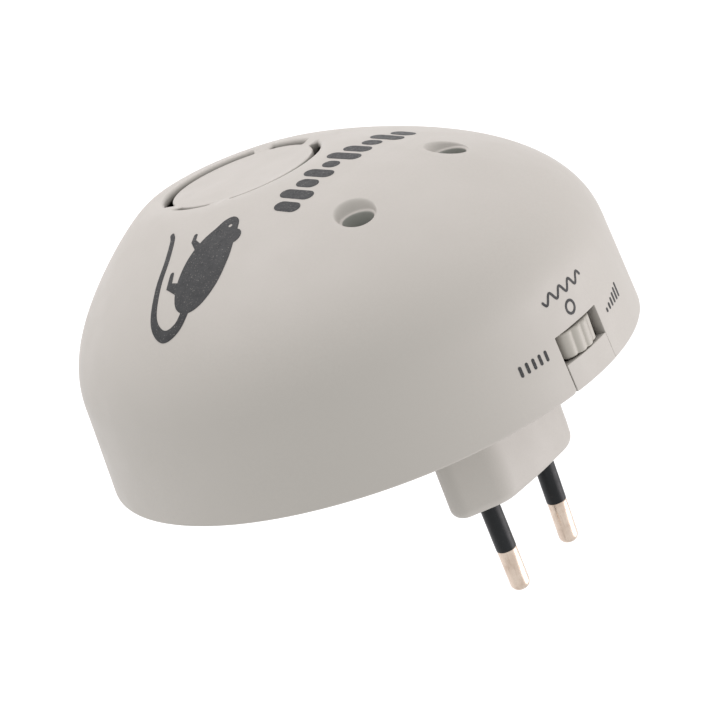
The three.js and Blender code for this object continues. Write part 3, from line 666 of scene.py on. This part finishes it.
def slot_outline(from_deg, to_deg):
    """One curved slot round the sound disc as wide as its rounded edges reach, with round
    corners, anticlockwise, and the rounding radius at each point."""
    inner, outer = SOUND["disc"] - DISC_EDGE, SOUND["slot"] + SLOT_EDGE
    corner = SOUND["corner"]
    steps = int((to_deg - from_deg) / 3)
    rows, radii = [], []
    for radius, first, last, sign, edge in ((outer, from_deg, to_deg, 1, SLOT_EDGE),
                                            (inner, to_deg, from_deg, -1, DISC_EDGE)):
        hub_radius = radius - sign * corner
        turn = sign * math.degrees(corner / hub_radius)
        lead_in, lead_out = first + turn, last - turn
        for degrees, start in ((lead_in, -90), (lead_out, 0)):
            angle = math.radians(degrees)
            hub = (hub_radius * math.cos(angle), SOUND["z"] + hub_radius * math.sin(angle))
            facing = degrees if sign == 1 else degrees + 180
            rows.append(arc(hub, corner, facing + start, facing + start + 90, 5))
            if start:
                rows.append(arc((0, SOUND["z"]), radius, lead_in, lead_out, steps)[1:-1])
        radii.append(np.full(sum(map(len, rows)) - sum(map(len, radii)), edge))
    return np.concatenate(rows), np.concatenate(radii)


def slot_spans():
    half, at = SOUND["bridge"] / 2, SOUND["bridge_at"]
    edges = [-at, at, 180 - at, 180 + at, 360 - at]
    return [(a + half, b - half) for a, b in zip(edges, edges[1:])]


def opening_outline():
    """The rim with the switch's notch in it, as unrolled points, anticlockwise, and the
    rounding radius at each point."""
    half, high = OPENING["half"] + NOTCH_EDGE, OPENING["high"] + NOTCH_EDGE
    low, foot, corner, pitch = RIM_EDGE, 0.5, 0.3, 0.8
    turned = arc((half + foot, low + foot), foot, 270, 180, 5)
    flank = evenly([(half, low + foot), (half, high - corner)], pitch, closed=False)[1:-1]
    right = np.concatenate([turned, flank, arc((half - corner, high - corner), corner, 0, 90, 4)])
    top = evenly([(half - corner, high), (corner - half, high)], pitch, closed=False)[1:-1]
    notch = unroll_top(np.concatenate([right, top, right[::-1] * [-1, 1]]))
    rim_rho = float(np.interp(-low, -HEIGHT, RHO))
    start = math.atan2(notch[-1, 1], notch[-1, 0])
    end = math.atan2(notch[0, 1], notch[0, 0]) + TURN
    angles = np.linspace(start, end, RIM_POINTS)[1:-1]
    rim = np.stack([rim_rho * np.cos(angles), rim_rho * np.sin(angles)], 1)
    radii = np.full(len(notch) + len(rim), RIM_EDGE)
    radii[:len(notch)] = NOTCH_EDGE
    ease = np.linspace(RIM_EDGE, NOTCH_EDGE, len(turned))
    radii[:len(turned)] = ease
    radii[len(notch) - len(turned):len(notch)] = ease[::-1]
    return np.concatenate([notch, rim]), radii


def edge_rings(points, normals, radius, depth, steps=4):
    """Rings that round an edge over and run down the wall behind it. The material is on
    the left of the loop as seen from outside."""
    along = np.roll(points, -1, 0) - np.roll(points, 1, 0)
    along /= np.linalg.norm(along, axis=1, keepdims=True)
    away = np.cross(along, normals)
    away /= np.linalg.norm(away, axis=1, keepdims=True)
    radius = np.broadcast_to(np.asarray(radius, float), len(points))[:, None]
    rings = []
    for k in range(1, steps + 1):
        angle = k / steps * math.pi / 2
        rings.append(points + away * radius * math.sin(angle)
                     - normals * radius * (1 - math.cos(angle)))
    rings.append(points + away * radius - normals * (depth - radius))
    return rings


WELL_DISH_RINGS = 16  # the bore's darker material, painted shade, starts after these


def well_profile(side):
    """A screw well: the outline where its soft dish leaves the dome, and the rings down
    the dish, the bore, the seat and back up outside the tube."""
    count = 56
    angles = np.arange(count) / count * TURN
    ray = np.stack([np.cos(angles), np.sin(angles)], 1)
    axis = np.array([side * WELL["x"], 0.0])
    mouth = height_over(axis + ray * WELL["bore"])
    mouth_h = WELL["ledge_h"] + WELL["tilt"] * (mouth - mouth.mean())

    def dish_h(radius):
        out = radius - WELL["bore"]
        steep = np.maximum(out - WELL["ledge"], 0)
        return mouth_h + out * WELL["ledge_slope"] + steep * WELL["wall_slope"]

    low, high = np.full(count, WELL["bore"]), np.full(count, 12.0)
    for _ in range(30):
        middle = (low + high) / 2
        inside = dish_h(middle) < height_over(axis + ray * middle[:, None])
        low = np.where(inside, middle, low)
        high = np.where(inside, high, middle)
    soft = WELL["soft"]
    reach = low + WELL["margin"]
    start = WELL["bore"] + 0.2
    rings = []
    for share in np.linspace(1, 0, WELL_DISH_RINGS):
        radius = start + (reach - start) * share
        place = axis + ray * radius[:, None]
        surface, dish = height_over(place), dish_h(radius)
        blend = np.clip(0.5 + (surface - dish) / (2 * soft), 0, 1)
        h = surface + (dish - surface) * blend - soft * blend * (1 - blend)
        rings.append((place, h))
    mouth_ring = rings[-1][1]
    for radius, drop in ((0.1, 0.07), (0.03, 0.2), (0, 0.5)):
        place = axis + ray * (WELL["bore"] + radius)
        rings.append((place, mouth_ring - drop))
    outline = rings.pop(0)[0]
    flat = [
        (WELL["bore"], WELL["bore_h"]), (WELL["bore"], WELL["seat_h"] + 0.2),
        (WELL["bore"] - 0.2, WELL["seat_h"]), (WELL["hole"], WELL["seat_h"]),
        (WELL["hole"], WELL["foot_h"]), (WELL["tube"] - 0.3, WELL["foot_h"]),
        (WELL["tube"], WELL["foot_h"] + 0.3), (WELL["tube"], WELL["tube_h"]),
    ]
    rings += [(axis + ray * radius, np.full(count, h)) for radius, h in flat]
    solid_rings = [np.stack([p[:, 0], RIM_Y - h, p[:, 1]], 1)[::-1] for p, h in rings]
    return unroll(outline)[::-1], solid_rings


def front_shell(look, bore_shade_look):
    """The dome as one closed skin: outside, edges and walls of every cut, and inside. The
    wells' bores take a darker second material, painted shade.
    """
    slots = [slot_outline(a, b) for a, b in slot_spans()]
    wells = [well_profile(side) for side in (-1, 1)]
    cuts = [opening_outline()]
    cuts += [(unroll(outline)[::-1], radii[::-1]) for outline, radii in slots]
    loops = [loop for loop, _ in cuts] + [outline for outline, _ in wells]
    grid = hex_grid((-RIM_RHO, -RIM_RHO), (RIM_RHO, RIM_RHO), DOME_PITCH)

    in_shell = between(loops)
    grid = grid[in_shell(grid)]
    grid = grid[~near_loops(grid, loops, DOME_PITCH * 0.55)]
    flat, triangles, number = triangulate(loops, grid, in_shell)
    builder = Builder()
    outside, normals = dome(flat), dome_normals(flat)
    outer_ids = builder.add(outside)
    inner_ids = builder.add(outside - normals * WALL)
    for index, normal in enumerate(normals):
        builder.normals[outer_ids[index]] = normal
    for a, b, c in triangles:
        builder.faces.append((outer_ids[a], outer_ids[b], outer_ids[c]))
        builder.faces.append((inner_ids[c], inner_ids[b], inner_ids[a]))
    start = 0
    for place, loop in enumerate(loops):
        members = [number[start + i] for i in range(len(loop))]
        start += len(loop)
        if place < len(cuts):
            rings = edge_rings(outside[members], normals[members], cuts[place][1], WALL)
        else:
            rings = wells[place - len(cuts)][1]
        first_face = len(builder.faces)
        ids = builder.stack(rings)
        # The bores' faces take the darker second material: painted shade down the wells.
        if place >= len(cuts):
            bore_shade_start = first_face + len(loop) * WELL_DISH_RINGS
            builder.painted_shade_faces += range(bore_shade_start, len(builder.faces))
        builder.strip([outer_ids[i] for i in members], ids[0])
        builder.strip(ids[-1], [inner_ids[i] for i in members])
    return builder.piece("shell_dome", look, "housing", ["front_shell"],
                         second=bore_shade_look)


# ------------------------------------------------------------------------------ prints

INK_TOP, INK_ROOT = 0.06, -0.08


def print_mark(name, look, shapes, holes=(), to_flat=unroll, pitch=0.9, rise=INK_TOP):
    """A thin film of ink over the dome: the union of closed outlines, less the holes."""
    outlines = [to_flat(evenly(shape, pitch)) for shape in [*shapes, *holes]]
    kept = outlines[:len(shapes)]

    def inked(points):
        held = np.zeros(len(points), bool)
        for outline in kept:
            held |= inside_polygon(points, outline)
        for outline in outlines[len(shapes):]:
            held &= ~inside_polygon(points, outline)
        return held

    every = np.concatenate(outlines)
    grid = hex_grid(every.min(0), every.max(0), pitch)
    grid = grid[inked(grid)]
    if len(grid):
        grid = grid[~near_loops(grid, outlines, pitch * 0.45)]
    flat, triangles, _ = triangulate(outlines, grid, inked)
    builder = Builder()
    surface, normals = dome(flat), dome_normals(flat)
    top = builder.add(surface + normals * rise)
    root = builder.add(surface + normals * INK_ROOT)
    sides = {}
    for triangle in triangles:
        builder.faces.append(tuple(top[i] for i in triangle))
        builder.faces.append(tuple(root[i] for i in triangle[::-1]))
        for a, b in zip(triangle, np.roll(triangle, -1)):
            sides[(int(a), int(b))] = (int(b), int(a))
    for (a, b), back in sides.items():
        if back not in sides:
            builder.faces.append((top[b], top[a], root[a], root[b]))
    for index, normal in enumerate(normals):
        builder.normals[top[index]] = normal
    builder.keep_used()
    return builder.piece(name, look, "housing")


def pill(x, low, high, width):
    """An upright bar with rounded ends, at x, from low to high."""
    radius = width / 2
    return np.concatenate([
        arc((x, low + radius), radius, 180, 360, 8),
        arc((x, high - radius), radius, 0, 180, 8),
    ])


def sound_level_mark(look):
    """A row of level bars above the sound disc, like a meter's."""
    low_to_high = [5.2, 7.4, 4.2, 6.2, 7.6, 3.6, 6.6, 4.8, 7.4, 5.6]
    first, pitch, width = -19.6, 3.95, 2.9
    shapes = []
    for i, tall in enumerate(low_to_high):
        x = first + pitch * i
        middle = -15.6 + 0.0045 * x * x
        shapes.append(pill(x, middle - tall / 2, middle + tall / 2, width))
    return print_mark("print_level_bars", look, shapes)


MOUSE_MIDDLE = np.array([32.0, -26.0])  # where the mouse is drawn, then where it is placed
MOUSE_PLACE = np.array([31.4, -26.5])
MOUSE_SIZE = np.array([1.03, 0.93])


def mouse_mark(look):
    """A plain mouse seen from the side: body, ear, feet and a long curled tail."""
    body = smooth_closed([
        (20.9, -23.6), (21.6, -21.8), (23.6, -20.6), (26.2, -19.5), (30.5, -18.0),
        (35.5, -17.6), (39.4, -19.2), (41.2, -22.2), (40.4, -25.4), (37.0, -27.4),
        (32.0, -28.0), (27.5, -27.2), (24.2, -25.8), (22.0, -25.0),
    ])
    ear = circle((25.8, -20.4), 1.9, 18)
    feet = [
        stroke([(29.0, -26.8), (27.4, -29.4), (26.0, -29.9)], [1.6, 1.0, 0.8]),
        stroke([(37.2, -26.4), (36.6, -29.6), (34.4, -30.3)], [2.2, 1.4, 0.9]),
    ]
    tail_line = smooth_open([
        (39.6, -22.4), (43.2, -23.4), (44.6, -26.6), (42.4, -30.4), (37.0, -32.6),
        (31.6, -33.8), (27.2, -35.6), (25.6, -36.9),
    ])
    tail = stroke(tail_line, np.linspace(2.0, 0.9, len(tail_line)))
    eye = circle((23.3, -22.7), 0.42, 12)
    shapes = [MOUSE_PLACE + (shape - MOUSE_MIDDLE) * MOUSE_SIZE
              for shape in (body, ear, *feet, tail, eye)]
    return print_mark("print_mouse", look, shapes[:-1], shapes[-1:], pitch=0.7)


def bars_mark(name, look, places, heights, base, width):
    shapes = [pill(x, base, base + tall, width) for x, tall in zip(places, heights)]
    return print_mark(name, look, shapes, to_flat=unroll_top, pitch=0.4)


def switch_marks(look):
    """The three switch positions: steady, off and varying, with a wave above them."""
    steady = np.linspace(10.0, 16.0, 5)
    varying = np.linspace(-10.2, -17.0, 6)
    bars_mark("print_steady", look, steady, [2.1] * 5, 8.2, 0.62)
    bars_mark("print_varying", look, varying, [0.9, 1.3, 1.7, 2.1, 2.5, 2.9], 7.8, 0.62)
    ring, hole = circle((0.1, 14.0), 1.45, 28), circle((0.1, 14.0), 0.95, 24)
    print_mark("print_off", look, [ring], [hole], to_flat=unroll_top, pitch=0.4)
    x = np.linspace(-6.0, 6.2, 61)
    wave = np.stack([x, 17.7 + 0.85 * np.sin((x + 6.0) / 12.2 * 4 * TURN)], 1)
    outline = stroke(wave, np.full(61, 0.5))
    print_mark("print_wave", look, [outline], to_flat=unroll_top, pitch=0.4)


# ------------------------------------------------------------------- flat moulded parts

def offset(loop, distance):
    """A closed anticlockwise loop in a plane moved outwards along its normals."""
    loop = np.asarray(loop, float)
    along = np.roll(loop, -1, 0) - np.roll(loop, 1, 0)
    along /= np.linalg.norm(along, axis=1, keepdims=True)
    return loop + np.stack([along[:, 1], -along[:, 0]], 1) * distance


def at_height(loop, h):
    return np.stack([loop[:, 0], np.full(len(loop), RIM_Y - h), loop[:, 1]], 1)


def rounded_outline(centres, radius, steps=8, radii=None):
    """A convex outline round centres in anticlockwise order, whose straight sides stand a
    radius away from them. Its corners have that radius, or radii of their own."""
    centres = np.asarray(centres, float)
    radii = radii or [radius] * len(centres)
    rows = []
    for i, centre in enumerate(centres):
        before, after = centres[i - 1], centres[(i + 1) % len(centres)]
        start = math.degrees(math.atan2(*(centre - before)[::-1])) - 90
        sweep = (math.degrees(math.atan2(*(after - centre)[::-1])) - 90 - start) % 360
        middle = math.radians(start + sweep / 2)
        shift = (radii[i] - radius) / math.cos(math.radians(sweep / 2))
        hub = centre - shift * np.array([math.cos(middle), math.sin(middle)])
        rows.append(arc(hub, radii[i], start, start + sweep, steps))
    return np.concatenate(rows)


def rounded_box(half_x, half_z, radius, middle=(0, 0), steps=6):
    a, b = half_x - radius, half_z - radius
    corners = np.array([(a, -b), (a, b), (-a, b), (-a, -b)]) + middle
    return rounded_outline(corners, radius, steps)


def nose_outline(steps=10):
    tip = NOSE["tip"] - NOSE["corner"]
    top = NOSE["half_height"] - NOSE["corner"]
    half = [(tip, 0), (NOSE["shoulder"], top), (0, top + NOSE["bulge"]), (-NOSE["shoulder"], top)]
    radii = [NOSE["corner"] + 0.5, NOSE["shoulder_radius"], 60, NOSE["shoulder_radius"]] * 2
    centres = half + [(-x, -z) for x, z in half]
    return rounded_outline(centres, NOSE["corner"], steps, radii)


def flat_face(builder, loops, ids):
    """Fills a flat face between an outline and the holes in it."""
    numbers = [i for ring in ids for i in ring]
    _, triangles, number = triangulate(loops, [], between(loops))
    back = {new: numbers[old] for old, new in number.items()}
    for triangle in triangles:
        builder.faces.append(tuple(back[i] for i in triangle))


def pin_axis_x(y):
    """How far from the middle a pin's axis is at a depth y."""
    return PIN["x"] - math.tan(PIN_LEAN) * y


def plug_block(look):
    """The block that enters the socket: straight flanks, a rounded edge, a flat seat with
    the two pin holes, and a foot of the same outline inside the housing."""
    outline = nose_outline()
    builder = Builder()
    edge = NOSE["edge"]
    rings = [at_height(outline, NOSE["foot_h"])]
    rings += [at_height(outline, h) for h in np.linspace(NOSE["inside_h"], RIM_Y + edge, 5)]
    for k in range(1, 9):
        angle = k / 8 * math.pi / 2
        inset = edge * (1 - math.cos(angle))
        rings.append(at_height(offset(outline, -inset), RIM_Y + edge * (1 - math.sin(angle))))
    ids = builder.stack(rings)
    builder.cap(ids[0])
    holes, hole_ids = [], []
    for side in (-1, 1):
        stages = [(PIN["channel"] + 0.3, 0.0), (PIN["channel"] + 0.09, -0.09),
                  (PIN["channel"], -0.3), (PIN["channel"], -PIN["channel_end"])]
        hole_rings = []
        for radius, y in stages:
            ring = circle((side * pin_axis_x(y), 0), radius, 40)
            hole_rings.append(np.stack([ring[:, 0], np.full(40, y), ring[:, 1]], 1))
        members = builder.stack(hole_rings)
        builder.cap(members[-1])
        holes.append(hole_rings[0][:, [0, 2]])
        hole_ids.append(members[0])
    seat = rings[-1][:, [0, 2]]
    flat_face(builder, [seat, *holes], [ids[-1], *hole_ids])
    return builder.piece("plug_block", look, "housing", ["plug_body"], 50)


def turned_piece(name, look, profile, side, replaces, count=48):
    """A turned piece along a leaning pin's axis; the profile is a list of (radius, y)."""
    builder = Builder()
    turn = Matrix.Rotation(side * PIN_LEAN, 3, "Z")
    rings = []
    for radius, y in profile:
        ring = circle((0, 0), max(radius, 0.02), count)
        points = [turn @ Vector((x, y, z)) for x, z in ring]
        rings.append([(p.x + side * PIN["x"], p.y, p.z) for p in points])
    ids = builder.stack(rings)
    if profile[0][0] == 0:
        builder.cap(ids[0])
        builder.cap(ids[-1])
    else:
        builder.strip(ids[-1], ids[0])
    return builder.piece(name, look, "housing", replaces)


def rounded_tip(radius, length, round_radius, steps=10):
    """Profile points over a pin's rounded end, from the axis outwards."""
    flat = radius - round_radius
    rows = [(0, length)]
    for k in range(steps + 1):
        angle = math.pi / 2 * (1 - k / steps)
        rows.append((flat + round_radius * math.cos(angle),
                     length - round_radius * (1 - math.sin(angle))))
    return rows


def plug_pins(looks):
    for name, side in (("left", -1), ("right", 1)):
        radius, end = PIN["radius"], PIN["sleeve_end"]
        neck, neck_y, collar_y = PIN["neck"], -PIN["neck_end"], -PIN["collar_end"]
        tail, tail_y = PIN["tail"], -PIN["tail_end"]
        pin = rounded_tip(radius, PIN["length"], PIN["tip_round"]) + [
            (radius, PIN["middle"]), (radius, end + 0.2), (radius - 0.1, end + 0.05),
            (neck, end + 0.05), (neck, neck_y), (radius, neck_y), (radius, collar_y),
            (tail, collar_y), (tail, tail_y), (0, tail_y)]
        turned_piece(f"pin_{name}", looks["nickel"], pin, side, [f"plug_pin_{name}"])
        outer, bore, foot = PIN["sleeve"], PIN["sleeve_bore"], PIN["sleeve_foot"]
        sleeve = [(bore, end), (outer - 0.16, end), (outer - 0.04, end - 0.05),
                  (outer, end - 0.18), (outer, foot), (outer, 0.0), (outer, -foot),
                  (bore, -foot)]
        turned_piece(f"sleeve_{name}", looks["black_plastic"], sleeve, side,
                     [f"pin_sleeve_{name}"])


# ------------------------------------------------------------------------------ screws

SCREW = {"shank": 1.3, "head_height": 1.9, "recess": 1.0, "reach": 1.5, "half": 0.35}


def cross(centre, reach, half):
    """A plus-shaped outline, anticlockwise."""
    arm = np.array([(reach, -half), (reach, half), (half, half)])
    rows = []
    for angle in (0, TURN / 4, TURN / 2, TURN * 3 / 4):
        c, s = math.cos(angle), math.sin(angle)
        rows.append(arm @ np.array([[c, s], [-s, c]]))
    return np.concatenate(rows) + centre


def housing_screw(side, look):
    """A pan-head screw down a well: a soft head with a cross recess, over its shank."""
    low, high = box_mm(f"housing_screw_{side}")
    centre = ((low[0] + high[0]) / 2, 0)
    top_h, tip_h = RIM_Y - low[1], RIM_Y - high[1]
    head, seat_h = (high[0] - low[0]) / 2, top_h - SCREW["head_height"]
    shank, brow, flat, lip = SCREW["shank"], 0.3, 0.7 * head, 0.15
    profile = [(0.3 * shank, tip_h), (shank, tip_h + 1.2), (shank, seat_h), (head - lip, seat_h),
               (head, seat_h + lip)]
    for angle in np.linspace(0, TURN / 4, 7):
        rise = seat_h + brow + (top_h - seat_h - brow) * math.sin(angle)
        profile.append((flat + (head - flat) * math.cos(angle), rise))
    builder = Builder()
    ids = builder.stack([at_height(circle(centre, r, 40), h) for r, h in profile])
    builder.cap(ids[0])
    mouth = cross(centre, SCREW["reach"], SCREW["half"])
    floor = cross(centre, 0.9 * SCREW["reach"], 0.7 * SCREW["half"])
    ways = builder.stack([at_height(mouth, top_h), at_height(floor, top_h - SCREW["recess"])])
    builder.cap(ways[-1])
    flat_face(builder, [circle(centre, flat, 40), mouth], [ids[-1], ways[0]])
    return builder.piece(f"well_screw_{side}", look, "housing", [f"housing_screw_{side}"])


# -------------------------------------------------------------------------- back cover

def ellipse(inset, count=220):
    angles = np.arange(count) / count * TURN
    return np.stack([(HALF_WIDTH - inset) * np.cos(angles),
                     CENTRE_Z + (HALF_HEIGHT - inset) * np.sin(angles)], 1)


def back_plate(look):
    """The back cover's plate: rounded rim, a window for the plug block, a sunk panel."""
    outline = ellipse(COVER["edge_gap"])
    window = offset(nose_outline(), 0.3)
    panel = rounded_box(PANEL["half_x"], PANEL["half_z"], PANEL["corner"], PANEL["middle"])
    low, high, edge = COVER["low"], COVER["high"], 0.4
    builder = Builder()
    outer = builder.stack([
        at_height(offset(outline, -edge), low),
        at_height(offset(outline, -edge * 0.3), low + edge * 0.3),
        at_height(outline, low + edge),
        at_height(outline, high),
    ])
    hole = builder.stack([
        at_height(offset(window, 0.25), low),
        at_height(offset(window, 0.07), low + 0.07),
        at_height(window, low + 0.25),
        at_height(window, high),
    ])
    sunk = builder.stack([
        at_height(offset(panel, 0.2), low),
        at_height(offset(panel, 0.06), low + 0.06),
        at_height(panel, low + 0.2),
        at_height(offset(panel, -0.05), low + 0.3),
    ])
    plane = [offset(outline, -edge), offset(window, 0.25), offset(panel, 0.2)]
    flat_face(builder, plane, [outer[0], hole[0], sunk[0]])
    flat_face(builder, [outline, window], [outer[-1], hole[-1]])
    builder.cap(sunk[-1])
    return builder.piece("cover_plate", look, "housing", ["back_cover"], 50)


def switch_tongue(look):
    """The back cover's tongue, which closes the switch's notch from behind, flush."""
    low, high, edge = COVER["low"], OPENING["low"], TONGUE["edge"]
    left, right = TONGUE["left_gap"] - OPENING["half"], OPENING["half"] - TONGUE["right_gap"]
    count_x, count_h = 20, 8
    xs = np.linspace(left + edge, right - edge, count_x)
    hs = np.linspace(low + edge, high - edge, count_h)
    across = [(x, h) for h in hs for x in xs]
    flat = unroll_top(across)
    outside, normals = dome(flat), dome_normals(flat)
    builder = Builder()
    outer = np.array(builder.add(outside)).reshape(count_h, count_x)
    for index, normal in enumerate(normals):
        builder.normals[int(outer.flat[index])] = normal
    inner = np.array(builder.add(outside - normals * WALL)).reshape(count_h, count_x)
    for i in range(count_h - 1):
        for j in range(count_x - 1):
            square = [(i, j), (i, j + 1), (i + 1, j + 1), (i + 1, j)]
            builder.faces.append(tuple(int(outer[s]) for s in square))
            builder.faces.append(tuple(int(inner[s]) for s in square[::-1]))
    border = [(0, j) for j in range(count_x)]
    border += [(i, count_x - 1) for i in range(1, count_h)]
    border += [(count_h - 1, j) for j in range(count_x - 2, -1, -1)]
    border += [(i, 0) for i in range(count_h - 2, 0, -1)]
    border = border[::-1]
    places = [i * count_x + j for i, j in border]
    rings = edge_rings(outside[places], normals[places], edge, WALL, 3)
    ids = builder.stack(rings)
    builder.strip([int(outer[s]) for s in border], ids[0])
    builder.strip(ids[-1], [int(inner[s]) for s in border])
    return builder.piece("cover_tongue", look, "housing")


# ------------------------------------------------------------------------- switch knob

def knob(look):
    """The sliding knob: a ribbed arch with rounded edges."""
    low, high = box_mm("switch_knob")
    half = (high[0] - low[0]) / 2
    crown_z, foot = high[2], low[2]
    middle_y = (low[1] + high[1]) / 2
    depth = (high[1] - low[1]) / 2
    corner, rib = KNOB["corner"], KNOB["rib"]

    def top_z(x):
        across = np.clip(x / half, -1, 1)
        ribs = rib * np.abs(np.sin(across * math.pi * 2)) ** KNOB["rib_power"]
        return crown_z - KNOB["drop"] * across ** 2 - rib + ribs

    def section(x, shrink):
        top = top_z(x) - shrink
        side = depth - shrink
        ring = [(-side, foot + 0.1), (-side, (foot + top) / 2)]
        for k in range(7):
            angle = math.pi / 2 * k / 6
            ring.append((-side + corner * (1 - math.cos(angle)),
                         top - corner * (1 - math.sin(angle))))
        ring += [(-a, z) for a, z in ring[::-1]]
        return [(x, middle_y + a, z) for a, z in ring]

    builder = Builder()
    rings = []
    ends = [(0.0, 0.35), (0.1, 0.17), (0.22, 0.06)]
    for inset, shrink in ends:
        rings.append(section(-half + inset, shrink))
    for x in np.linspace(corner - half, half - corner, KNOB["steps"]):
        rings.append(section(x, 0))
    for inset, shrink in ends[::-1]:
        rings.append(section(half - inset, shrink))
    ids = builder.stack(rings)
    builder.cap(ids[0])
    builder.cap(ids[-1])
    return builder.piece("knob_cap", look, "mode_switch", ["switch_knob"], 60)


# ------------------------------------------------------------------------------- stage

SURROUND = 1.06  # strength of the even white light from all round
LIGHTS = {  # the direction each soft light comes from, and its watts
    "side_light": ((-0.59, 0.35, 0.73), 8.0),
    "top_light": ((-0.46, -0.89, 0.05), 3.2),
    "front_light": ((0.09, -0.87, -0.48), 7.4),
}
LIGHT_COLOUR = (1, 0.94, 0.97)
LIGHT_DISTANCE = 1.1
LIGHT_SIZE = 0.9
FLOOR_DROP = 0.45
FLOOR_HALF = 6.0


def area_light(name, towards, watts):
    """A soft square light that shines on the object from a direction."""
    data = bpy.data.lights.new(name, "AREA")
    data.shape = "SQUARE"
    data.size = LIGHT_SIZE
    data.energy = watts
    data.color = LIGHT_COLOUR
    light = bpy.data.objects.new(name, data)
    bpy.context.scene.collection.objects.link(light)
    towards = Vector(towards).normalized()
    light.location = (cad_low + cad_high) / 2 + towards * LIGHT_DISTANCE
    light.rotation_mode = "QUATERNION"
    light.rotation_quaternion = towards.to_track_quat("Z", "Y")


def make_stage():
    """A pale floor far below the object, a white surround and soft lights."""
    scene = bpy.context.scene
    scene.view_settings.view_transform = "Standard"
    world = bpy.data.worlds.new("surround")
    world.use_nodes = True
    background = world.node_tree.nodes["Background"]
    background.inputs["Color"].default_value = (1, 1, 1, 1)
    background.inputs["Strength"].default_value = SURROUND
    scene.world = world

    look = Look("floor_white", 0.9)
    look.colour(look.mix(look.noise(400, 2), rgb(250, 250, 250), rgb(246, 246, 246)))
    z = cad_low.z - FLOOR_DROP
    corners = [(x * FLOOR_HALF, y * FLOOR_HALF, z) for x, y in ((-1, -1), (1, -1), (1, 1), (-1, 1))]
    mesh = bpy.data.meshes.new("floor")
    mesh.from_pydata(corners, [], [(0, 1, 2, 3)])
    mesh.materials.append(look.material)
    floor = bpy.data.objects.new("floor", mesh)
    scene.collection.objects.link(floor)
    for name, (towards, watts) in LIGHTS.items():
        area_light(name, towards, watts)


# ---------------------------------------------------------------------------- assembly

def dress_inner_nodes(looks):
    """Gives every CAD node that still shows the material of its slot."""
    slots = {row["node"]: row["material_slot"] for row in frame["record"]["subparts"]}
    for name, node in frame["nodes"].items():
        node.data.materials.clear()
        node.data.materials.append(looks[slots[name]])


make_camera()
LOOKS = make_looks()
dress_inner_nodes(LOOKS)
# The second look paints shade into the well bores.
front_shell(LOOKS["housing_plastic"], LOOKS["bore_shade_plastic"])
back_plate(LOOKS["housing_plastic"])
switch_tongue(LOOKS["housing_plastic"])
plug_block(LOOKS["housing_plastic"])
plug_pins(LOOKS)
for SIDE in ("left", "right"):
    housing_screw(SIDE, LOOKS["steel"])
knob(LOOKS["knob_plastic"])
sound_level_mark(LOOKS["print_ink"])
mouse_mark(LOOKS["print_ink"])
switch_marks(LOOKS["print_ink"])
make_stage()
